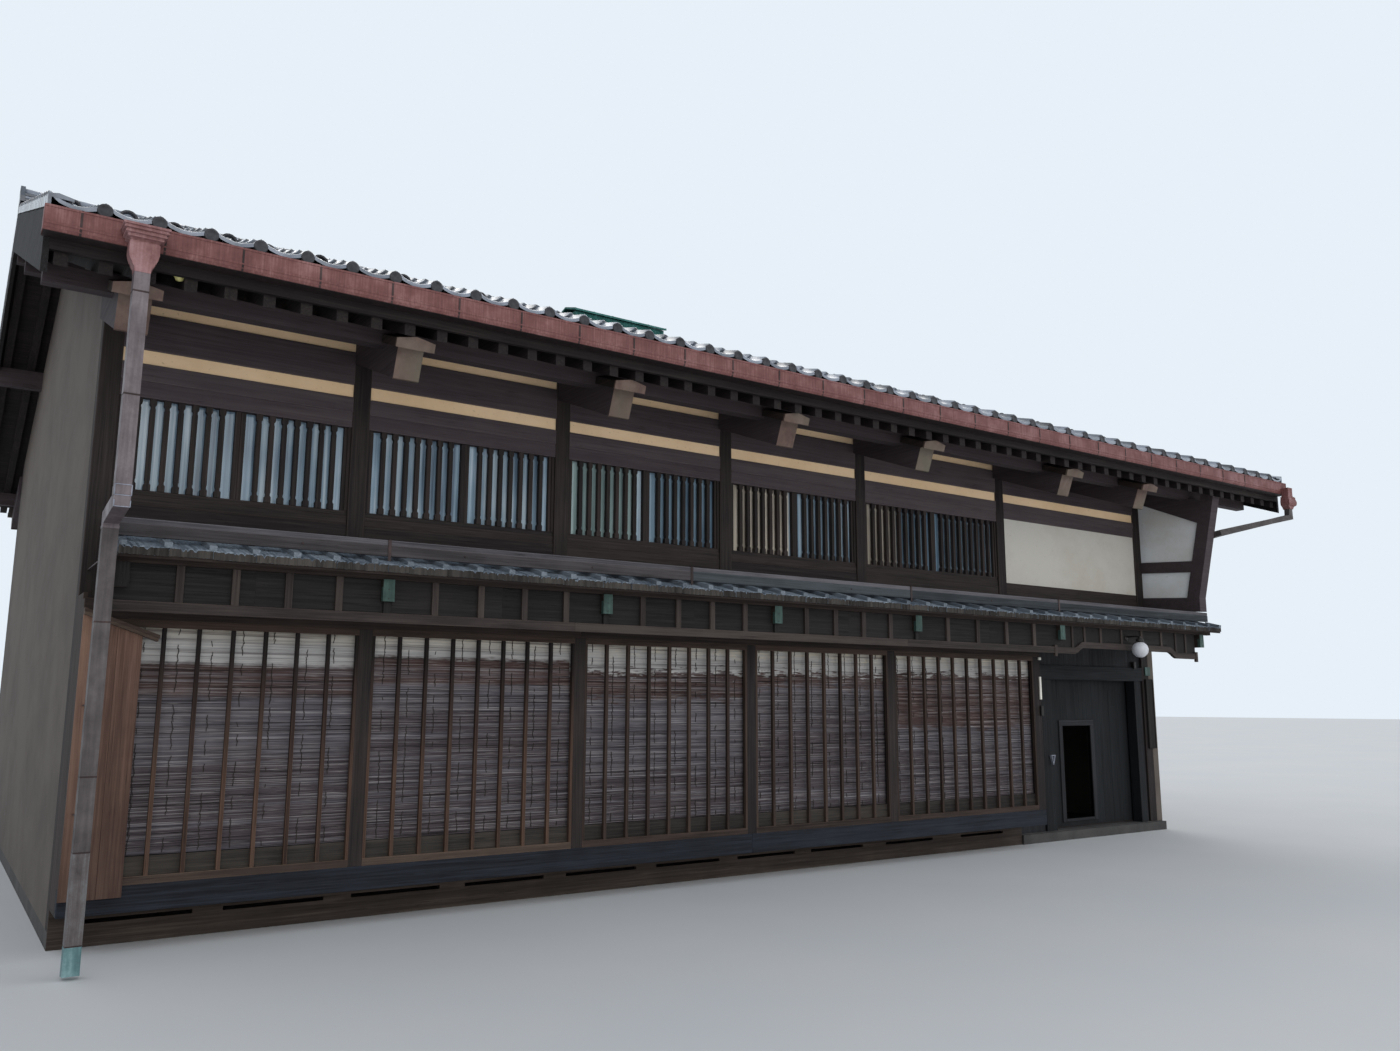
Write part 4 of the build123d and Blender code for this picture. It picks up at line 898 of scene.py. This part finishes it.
# Pent roof boards with cracked ends, and battens
pile = Pile()
batten_run = PENT_RIGHT - PENT_LEFT - 42
batten_count = int(batten_run / 285)
batten_step = batten_run / batten_count
end_rng = random.Random(5)
wing_x = (WALL_RIGHT - 140, WALL_RIGHT + 20)


def pent_plank(x0, x1, end, lift):
    """One thick plank down the slope, its lower end cracked and worn into an uneven edge."""
    columns = max(2, round((x1 - x0) / 11))
    xs = steps(x0, x1, columns)
    cracks = [end_rng.uniform(9, 20) if end_rng.random() < 0.17 else 0 for _ in xs]
    wear = [end_rng.uniform(0, 12) for _ in xs]
    dips = [end_rng.uniform(-3, 3) for _ in xs]
    rows = [(0, 0), (0.75, 0), (0.93, 0), (0.985, 1), (1, 2)]
    points = []
    for upper in (True, False):
        for fraction, level in rows:
            for x, crack, worn, dip in zip(xs, cracks, wear, dips):
                d = fraction * (end - (worn if level == 2 else 0))
                z = pent_top(d) + lift
                if upper:
                    z += (0, dip * 0.6, -5 - dip)[level]
                    z -= crack if fraction > 0.9 else 0.6 * crack
                else:
                    z -= 60 - (dip if level == 2 else 0)
                points.append((x, out(d), z))
    width = columns + 1
    layer = width * len(rows)
    faces = grid_faces(len(rows), columns)
    faces += [[layer + f[i] for i in (0, 3, 2, 1)] for f in faces]
    faces += [[k, layer + k, layer + k + 1, k + 1] for k in range(columns)]
    for row in range(0, layer - width, width):
        faces += [[a, a + width, layer + a + width, layer + a] for a in (row, row + columns)]
    pile.add(points, faces, pile.grain_of(points, 1))
    ends = points[layer - width:layer] + points[-width:]
    pile.add(ends, grid_faces(2, columns), pile.grain_of(ends, 2), material=1)


joints = [PENT_LEFT] + [PENT_LEFT + 21 + i * batten_step for i in range(1, batten_count)] + [PENT_RIGHT]
for x0, x1 in pairs(joints):
    splits = [x0, x1]
    if end_rng.random() < 0.4:
        splits.insert(1, x0 + (x1 - x0) * end_rng.uniform(0.35, 0.65))
    for a, b in pairs(splits):
        pent_plank(a + 1.2, b - 1.2, PENT_EDGE_OUT - end_rng.uniform(0, 8), -end_rng.uniform(0, 4))
for i in range(batten_count + 1):
    x = PENT_LEFT + i * batten_step
    inner = 828 if wing_x[0] - 84 < x < wing_x[1] + 42 else 0
    end = PENT_EDGE_OUT - end_rng.uniform(12, 22)
    outline = [
        (out(end), pent_top(end) - 4), (out(inner), pent_top(inner) - 4),
        (out(inner), pent_top(inner) + 30), (out(end + 3), pent_top(end) + 34 - end_rng.uniform(0, 5)),
    ]
    lean = end_rng.uniform(-6, 6) * 0.5
    points = [(x + shift, y, z) for shift, (y, z) in zip((lean, 0, 0, lean), outline)]
    first = [(max(a - 5, PENT_LEFT), y, z) for a, y, z in points]
    pile.prism(first, [(a + 47, y, z) for a, y, z in points], axis=1, material=2)
pile.build("pent_boards", "grey_boards", "grey_wood end_wood batten_wood", ["pent_roof"])

# Snow board along the pent roof, in lengths held by straps
pile = Pile()
base = pent_top(828) + 30
edges = [PENT_LEFT, -4732, -1830, 1080, 3634, PENT_RIGHT - 40]
for i, (x0, x1) in enumerate(pairs(edges)):
    # The lower boards take the darker woods, painted shade; the top boards take the rim wood
    pile.front((x0 + 1, x1 - 1), (868, 828), (base, base + 88), 5, material=0 if i < 2 else 3)
    pile.front((x0 + 1, x1 - 1), (865, 831), (base + 88, base + 127), 5, material=2)
for x in edges[1:-1]:
    for inner, z0, z1 in ((868, -40, 131), (822, 127, 132)):
        pile.front(around(x, 13), (874, inner), (base + z0, base + z1), 1, material=1)
for x in (-5400, -4100, -2900, 200, 2400, 4800, 6000):
    pile.lathe([(0, -4), (7, -3), (9, 0)], (x, out(868), base + 45), axis=1, sides=10, material=1)
pile.build("snow_board_timbers", "grey_boards", "under_rim_wood joint_metal rim_wood far_rim_wood", ["snow_board"])

# Main roof tiles
COLUMNS, COURSE = 47, 250.0
PITCH = (ROOF_RIGHT - ROOF_LEFT) / COLUMNS


def courses(lap):
    """Where each course of tiles starts and ends, as distances in front of the front wall."""
    starts = [TILE_OUT - row * COURSE for row in range(int((TILE_OUT + DEPTH / 2) / COURSE) + 1)]
    return [(d, max(d - COURSE - lap, FRONT + 10)) for d in starts if d - 40 >= FRONT]


def tile_height(u):
    """Height of a pan tile across its width: a roll at the left, a shallow pan beside it."""
    u %= 1
    if u < 0.16:
        return 22 + 36 * math.cos(math.pi / 2 * u / 0.16) ** 0.8
    if u > 0.9:
        return 22 + 27 * math.sin(math.pi / 2 * (u - 0.9) / 0.1) ** 1.2
    return 22 * (1 - 1.35 * math.sin(math.pi * (u - 0.16) / 0.74))


def tile_slope(sign):
    """All the tiles of one slope as one mesh: sign 1 is the front side."""
    pile = Pile()
    samples = [0, 0.05, 0.1, 0.145, 0.2, 0.32, 0.46, 0.6, 0.74, 0.86, 0.93, 1.0]
    last = len(samples) - 1
    for row, (d0, d1) in enumerate(courses(30)):
        for column in range(COLUMNS):
            tilt = rng.uniform(-1.5, 1.5)
            points = []
            for d, lift in ((d0, 24 + tilt), (d0 - 6, 27 + tilt), ((d0 + d1) / 2, 13), (d1, 0)):
                z = rafter_bottom(d) + BED_LEVEL + 24 + lift
                points += [(ROOF_LEFT + (column + u) * PITCH, sign * out(d), z + tile_height(u)) for u in samples]
            tone = rng.random()
            pile.add(points, grid_faces(4, last), tone=tone, smooth=True)
            # The lower edge, one thickness high
            edge = []
            for x, y, z in points[:last + 1]:
                edge += [(x, y, z), (x, y + sign * 3, z - (19 if row else 26))]
            faces = [[k, k + 2, k + 3, k + 1] for k in range(0, 2 * last, 2)]
            # The first course's edge gets a high tone, a painted highlight; the other courses' edges a low tone,
            # painted shade
            pile.add(edge, faces, tone=0.4 * tone + (0 if row else 0.6))
    return pile


front_tiles = tile_slope(1)
# Eave discs, flanges and snow guards on the front slope
for column in range(COLUMNS):
    x = ROOF_LEFT + column * PITCH
    if column:
        disc = [(0, -8), (32, -8), (35, -11), (44, -11), (49, -7), (49, 30), (46, 60)]
        centre = (x, out(TILE_OUT - 4), rafter_bottom(TILE_OUT) + BED_LEVEL + 52)
        front_tiles.lathe(disc, centre, axis=1, sides=20, material=1)
    for row in (1, 2):
        if (column + row) % 2:
            continue
        d = TILE_OUT - row * COURSE - 60
        foot = rafter_bottom(d) + BED_LEVEL + 49
        hoop = [(62 * math.cos(t), 60 * math.sin(t)) for t in steps(0, math.pi, 8)]
        hoop += [(0.78 * a, 0.78 * b) for a, b in reversed(hoop)]
        outline = [(x + 0.52 * PITCH + a, foot + b) for a, b in hoop]
        front_tiles.along_y(outline, (out(d), out(d) + 46), material=1)
back_tiles = tile_slope(-1)

# Gable edge tiles, hanging over the bargeboards
edge_tile = [(0, -20), (0, 66), (60, 78), (150, 60), (150, 40), (20, 44), (20, -20)]
for pile, sign in ((front_tiles, 1), (back_tiles, -1)):
    for d0, d1 in courses(20):
        for x, way in ((ROOF_LEFT, 1), (ROOF_RIGHT, -1)):
            pile.prism(*[
                [(x + way * a, sign * out(d), rafter_bottom(d) + BED_LEVEL + lift + b) for a, b in edge_tile]
                for d, lift in ((d0, 24), (d1, 0))
            ], axis=1)
front_tiles.build("roof_tiles_street", "tile", "glazed_tile dark_tile", ["roof_tiles"])
back_tiles.build("roof_tiles_back", "tile", "glazed_tile", ["roof_tiles"])


# Ridge: courses of flat tiles under a round cap
def over_crown(*points):
    """An outline whose heights are counted from the crown of the roof."""
    crown = rafter_bottom(FRONT) + TILE_LEVEL
    return [(y, crown + z) for y, z in points]


pile = Pile()
ridge_runs = ((ROOF_LEFT, -442), (1131, ROOF_RIGHT))
for x0, x1 in ridge_runs:
    for a, b in pairs(steps(x0, x1, round((x1 - x0) / 290))):
        for bottom, half in ((-30, 130), (4, 122), (38, 114), (72, 106)):
            (_, z0), (_, z1) = over_crown((0, bottom), (0, bottom + 30))
            pile.board((a + 1, b - 1), (-half, half), (z0, z1), 5, tone=rng.random())
        for radius, centre, xs in ((84, 106, (a, b - 22)), (84 * 1.07, 104, (b - 24, b))):
            ring = [(radius * math.cos(t), centre + radius * math.sin(t)) for t in steps(0, math.pi, 12)]
            pile.along_x(over_crown(*ring), xs, smooth=True)
for xs in ridge_runs:
    pile.along_x(over_crown((-130, -48), (0, 0), (130, -48), (130, -28), (-130, -28)), xs)
plate = over_crown(
    (-130, -40), (130, -40), (130, 60), (96, 130), (60, 196), (0, 214), (-60, 196), (-96, 130), (-130, 60),
)
for xs in ((ROOF_LEFT, ROOF_LEFT + 46), (ROOF_RIGHT, ROOF_RIGHT - 46)):
    pile.along_x(plate, xs)
pile.build("ridge_tiles", "tile", "glazed_tile", ["ridge"])

# Low copper vent on the ridge, with standing seams
pile = Pile()
x0, x1 = -436, 1125
pile.along_x(over_crown((-280, -80), (0, -10), (280, -80), (280, 160), (-280, 160)), (x0 + 20, x1 - 20))
roof = over_crown((-320, 158), (0, 262), (320, 158), (320, 186), (0, 289), (-320, 186))
pile.along_x(roof, (x0 - 6, x1 + 6))
seam = over_crown((-320, 186), (0, 289), (320, 186), (320, 190), (0, 290), (-320, 190))
for x in steps(x0, x1, 5):
    pile.along_x(seam, around(x, 6))
for i in range(12):
    (_, z), = over_crown((0, -60 + i * 18))
    for y, lean in ((-284, -0.5), (276, 0.5)):
        pile.board((x0 + 60, x1 - 60), (y, y + 8), (z, z + 9), 1, turn=(lean, 0, 0))
pile.build("ridge_vent_copper", "copper", "vent_metal", ["ridge_vent"])

# Gutters with a rolled rim, a bead near the foot, and joints
pile = Pile()
gutter = [
    (1299, 4897), (1305, 4897), (1305, 4735), (1420, 4735), (1430, 4760), (1430, 4886), (1424, 4890), (1424, 4897),
    (1438, 4898), (1438, 4884), (1434, 4880), (1434, 4790), (1438, 4782), (1438, 4772), (1433, 4764), (1431, 4748),
    (1420, 4729), (1299, 4727),
]
# A thin dark sheet under each gutter: painted shade on its underside
under = [(1299, 4727), (1416, 4727), (1416, 4725), (1299, 4725)]
plate = [(1299, 4897), (1437, 4897), (1437, 4760), (1420, 4729), (1299, 4727)]
wrap = [(1437.8, 4899), (1437.8, 4766), (1422, 4727), (1420, 4727), (1433.5, 4766), (1433.5, 4899)]
wraps = [-7080 + 501 * i for i in range(3)] + [-5540 + 539 * i for i in range(7)] + [-1766 + 556 * i for i in range(17)]
x0, x1 = ROOF_LEFT - 15, ROOF_RIGHT - 15
for sign in (1, -1):
    pile.profile(gutter, (x0, x1), sign)
    pile.profile(under, (x0 + 5, x1 - 5), sign, material=2)
    for x in (x0, x1 - 5):
        pile.profile(plate, (x, x + 5), sign)
    for x in wraps:
        pile.profile(wrap, around(x, 7), sign, material=1)
        pile.board(around(x, 7), (sign * out(GUTTER_FRONT), sign * out(1299)), (4894, 4898), 1, material=1)
pile.build("copper_gutters", "copper", "copper joint_metal under_metal", ["gutters"])


# Leader heads and downpipes
def leader_head(pile, x, sections):
    """Mouldings, a bellied body with a bare field, a collar and a spout, as widths at depths under the rim."""
    rings = []
    for drop, width in sections:
        x0, x1 = around(x, width / 2)
        y0, y1 = out(GUTTER_FRONT), out(GUTTER_FRONT + max(100, 0.6 * width))
        rings.append([(a, b, GUTTER_TOP - drop) for a, b in ((x0, y0), (x1, y0), (x1, y1), (x0, y1))])
    pile.rings(rings)


def square_pipe(pile, path, size, material=1):
    """A square pipe through these points, with mitred bends."""
    path = [Vector(p) for p in path]
    rings = []
    for i, p in enumerate(path):
        back = (p - path[i - 1]).normalized() if i else None
        run = (path[i + 1] - p).normalized() if i < len(path) - 1 else back
        along = ((back or run) + run).normalized()
        side = Vector((1, 0, 0)) if abs(run.x) < 0.3 else Vector((0, 1, 0))
        side = (side - run * side.dot(run)).normalized()
        other = run.cross(side)
        ring = []
        for a, b in ((-1, -1), (1, -1), (1, 1), (-1, 1)):
            corner = p + side * a * size / 2 + other * b * size / 2
            ring.append(corner + run * ((p - corner).dot(along) / run.dot(along)))
        rings.append(ring)
    pile.rings(rings, material=material)


pile = Pile()
x, high, low = -6713, 1488, 1040
leader_head(pile, x, [
    (61, 282), (76, 282), (79, 262), (88, 262), (91, 272), (98, 268), (101, 240), (110, 238), (113, 250), (122, 246),
    (126, 218), (134, 212), (137, 222), (143, 218), (148, 186), (156, 170), (162, 170), (166, 182), (211, 184),
    (241, 184), (271, 172), (297, 150), (301, 138), (313, 136), (329, 118), (337, 104), (369, 98),
])
for size, kind, *path in (
    (96, 1, (high, 4540), (high, 3004), (low, 2952), (low, 770)),
    (97, 5, (low, 2880), (low, 770)),
    (99, 6, (low, 780), (low, 196)),
    (99.6, 2, (low, 206), (low, 60), (low + 4, 22)),
):
    square_pipe(pile, [(x, out(d), z) for d, z in path], size, kind)
for z, d in ((4400, high), (3700, high), (2250, low), (1250, low), (776, low), (206, low)):
    pile.front(around(x, 50), around(d, 50), around(z, 6), material=3)
for d, z0, z1 in ((high, 3034, 3100), (low, 2876, 2900)):
    pile.front(around(x, 51), around(d, 51), (z0, z1), 3, material=1)
for z, d in ((2700, 0), (1700, LATTICE_OUT + 30), (960, LATTICE_OUT + 30)):
    pile.front(around(x, 6), (low - 50, d), (z, z + 10), 1, material=3)
# Seams on the collar over the bend and round its edges, pale as painted highlights
for side in (-1, 1):
    for reach, z0, z1 in ((49, 3102, 3032), (47, 3000, 2960)):
        path = [(x + side * reach, out(high + reach), z) for z in (z0, z1)]
        pile.tube(path, 4, sides=6, material=4)
for z in (3102, 3032, 2958):
    pile.tube([(a, out(high + 48), z) for a in around(x, 49)], 3.5, sides=6, material=4)
metals = "head_metal pipe_metal foot_metal joint_metal seam_metal low_pipe_metal sleeve_metal"
pile.build("left_downpipe_copper", "copper", metals, ["left_downpipe"])

pile = Pile()
head_x, pipe_x = 8150, wing_x[1] + 60
leader_head(pile, head_x, [
    (90, 120), (97, 124), (104, 114), (198, 110), (206, 116), (214, 142), (225, 188), (232, 196), (240, 188),
    (264, 200), (290, 212), (318, 212), (340, 202), (348, 188), (356, 156), (370, 128), (384, 100), (399, 88),
])
square_pipe(pile, [
    (head_x, out(1488), 4515), (head_x, out(1488), 4386), (pipe_x, out(1120), 4095), (pipe_x, out(-200), 3900),
    (pipe_x, out(-200), 2),
], 76)
for z in (3500, 2400, 1300, 400):
    pile.front(around(pipe_x, 40), (-160, -240), (z, z + 22), material=2)
    pile.front((WALL_RIGHT, pipe_x - 38), (-190, -210), (z + 4, z + 16), 1, material=2)
pile.build("right_downpipe_copper", "copper", "copper low_pipe_metal joint_metal", ["right_downpipe"])

# Ends of the sloping eave arms: a folded metal front under a low gable, timber behind it, a plate on the arm
EAVE_ARM_X = [x + shift for x, shift in zip(POST_X, (0, 30, 42, 5, 0, -10))]
EAVE_ARM_X.append((POST_X[5] + POST_X[6]) / 2 + 55)
HEAD_OUT, CAP_OUT, CAP_HALF = 1068, 1168, 157.5
arm_head = rafter_bottom(HEAD_OUT) - 111
arm_foot = arm_head - 235
slant = math.sqrt(1 + ROOF_SLOPE ** 2)


def cap_ring(x, sign, back, inset=0.0):
    """The cap's outline, this far up the slope from its front, square to the slope."""
    ring = []
    for a, b in (
        (-CAP_HALF, 0), (CAP_HALF, 0), (CAP_HALF, 72), (40, 96), (0, 102), (-40, 96), (-CAP_HALF, 72),
    ):
        a, b = a * (1 - inset / CAP_HALF), max(b - inset, 0)
        forth = CAP_OUT + (b * ROOF_SLOPE - back) / slant
        rise = (b + back * ROOF_SLOPE) / slant
        ring.append((x + a, sign * out(forth), arm_head + ROOF_SLOPE * (HEAD_OUT - CAP_OUT) + rise))
    return ring


pile = Pile()
for x in EAVE_ARM_X:
    for sign in (1, -1):
        pile.prism(cap_ring(x, sign, 0), cap_ring(x, sign, 22), axis=1)
        pile.prism(cap_ring(x, sign, 21, 4), cap_ring(x, sign, 382, 4), axis=1, material=1)
        for plate in (
            [(978, arm_foot), (984, arm_foot), (HEAD_OUT + 6, arm_head - 2), (HEAD_OUT, arm_head)],
            [(978, arm_foot), (983, arm_foot), (979, arm_foot - 4), (960, arm_foot - 4)],
        ):
            pile.profile(plate, around(x, 106), sign)
pile.build("eave_arm_ends", "copper", "cap_metal low_wood", ["eave_arm_caps"])

# Small fittings on the front
pile = Pile()
pile.front((3744, 3776), (446, 428), (1790, 2071), 4)
pile.front((3742, 3784), (452, 428), (2278, 2312), 4)
pile.front((3738, 3785), (458, 428), (1590, 1712), 5, material=1)
pile.lathe([(0, -20), (14, -18), (20, -8), (22, 0)], (5606, out(-30), 2216), axis=1, sides=14)
pile.front((6396, 6450), (24, -30), (2232, 2330), 5, material=1)
holder = [(4446, 1079), (4532, 1079), (4489, 953)]
inner = [(4458, 1071), (4520, 1071), (4489, 982)]
for k, n in ((0, 1), (1, 2), (2, 0)):
    pile.along_y([holder[k], holder[n], inner[n], inner[k]], (out(30), out(0)), material=2)
pile.front((6672, 6790), (16, 0), (2140, 2262), material=3)
x, d = -6440, 1200
bulb = [(0, -62), (26, -52), (37, -28), (36, 0), (24, 28), (14, 44), (14, 60)]
pile.lathe(bulb, (x, out(d), 4700), sides=18, material=4)
pile.lathe([(18, 56), (20, 60), (20, 96), (8, 104)], (x, out(d), 4700), sides=14, material=1)
pile.tube([(x, out(d), 4800), (x, out(d - 10), 4815), (x, out(d - 50), 4822)], 5, material=1)
pile.build("small_fittings", "dark_wood", "white_paint iron seam_metal green_copper bulb_glass")

# Back wall: upright boards under battens
pile = Pile()
for sides in bays:
    for i, (x0, x1) in enumerate(pairs(steps(*sides, round((sides[1] - sides[0]) / 240)))):
        face = -FRONT - 34 - rng.uniform(0, 3)
        pile.board((x0, x1), (-FRONT - 60, face), (FLOOR_TOP, GIRDER_BOTTOM), axis=2)
        if i:
            pile.board(around(x0, 15), (-FRONT - 40, -FRONT - 22), (FLOOR_TOP, GIRDER_BOTTOM), 3)
pile.build("back_boarding", "dark_wood", "dark_wood", ["back_boards"])

# Stage, light and camera
floor_mesh = bpy.data.meshes.new("stage_floor")
floor_mesh.from_pydata([(-150, -150, 0), (150, -150, 0), (150, 150, 0), (-150, 150, 0)], [], [[0, 1, 2, 3]])
floor = bpy.data.objects.new("stage_floor", floor_mesh)
bpy.context.scene.collection.objects.link(floor)
s = Shader("stage_floor")
shade = s.ramp(s.noise(s.place(), 0.4, 3), (0.3, (0.66, 0.67, 0.68, 1)), (0.7, (0.70, 0.70, 0.70, 1)))
s.set(Base_Color=shade, Roughness=0.9)
floor_mesh.materials.append(looks["stage_floor"])

world = bpy.data.worlds.new("studio")
bpy.context.scene.world = world
n = Nodes(world)
rays = n.add("LightPath").outputs
mirrored = n.math("MAXIMUM", rays["Is Glossy Ray"], rays["Is Transmission Ray"])
seen = n.math("MAXIMUM", rays["Is Camera Ray"], mirrored)
lit = n.add("Background", Color=(0.86, 0.92, 1.0, 1), Strength=0.66)
shown = n.add("Background", Color=(0.80, 0.87, 0.94, 1), Strength=1.0)
blend = n.add("MixShader", Fac=seen)
n.put(blend.inputs[1], lit.outputs[0])
n.put(blend.inputs[2], shown.outputs[0])
n.add("OutputWorld", Surface=blend.outputs[0])


def lamp(name, kind, energy, towards, tint, **settings):
    data = bpy.data.lights.new(name, kind)
    data.energy, data.color = energy, tint
    for key, value in settings.items():
        setattr(data, key, value)
    item = bpy.data.objects.new(name, data)
    item.rotation_euler = Vector(towards).to_track_quat("-Z", "Y").to_euler()
    bpy.context.scene.collection.objects.link(item)
    return item


lamp("key", "SUN", 0.75, (0.2, 0.93, -0.3), (1.0, 0.97, 0.92), angle=math.radians(50))
lamp("fill", "SUN", 0.4, (-0.7, 0.5, -0.2), (0.9, 0.95, 1.0), angle=math.radians(60))
lamp("rear", "SUN", 0.7, (-0.3, -0.7, -0.6), (1.0, 0.97, 0.93), angle=math.radians(40))

# A low, wide lamp lights the underside of the eaves
bounce = lamp("bounce", "AREA", 200, (0, 0.87, 0.5), (1.0, 0.98, 0.96), shape="RECTANGLE", size=26, size_y=3,
              spread=math.radians(110))
bounce.location = (1.0, -13.0, 0.3)
bounce.visible_camera = False

heading, pitch, roll = math.radians(35.108), math.radians(9.308), math.radians(0.118)
camera_data = bpy.data.cameras.new("camera")
camera_data.sensor_fit = "HORIZONTAL"
camera_data.sensor_width = 36
camera_data.lens = 1092 / 1400 * 36
camera_data.clip_end = 500
camera = bpy.data.objects.new("camera", camera_data)
camera.matrix_world = (
    Matrix.Translation((-7.6375, -13.693, 1.72))
    @ Matrix.Rotation(-heading, 4, "Z")
    @ Matrix.Rotation(math.pi / 2 + pitch, 4, "X")
    @ Matrix.Rotation(roll, 4, "Z")
)
bpy.context.scene.collection.objects.link(camera)
bpy.context.scene.camera = camera
bpy.context.scene.view_settings.view_transform = "Standard"
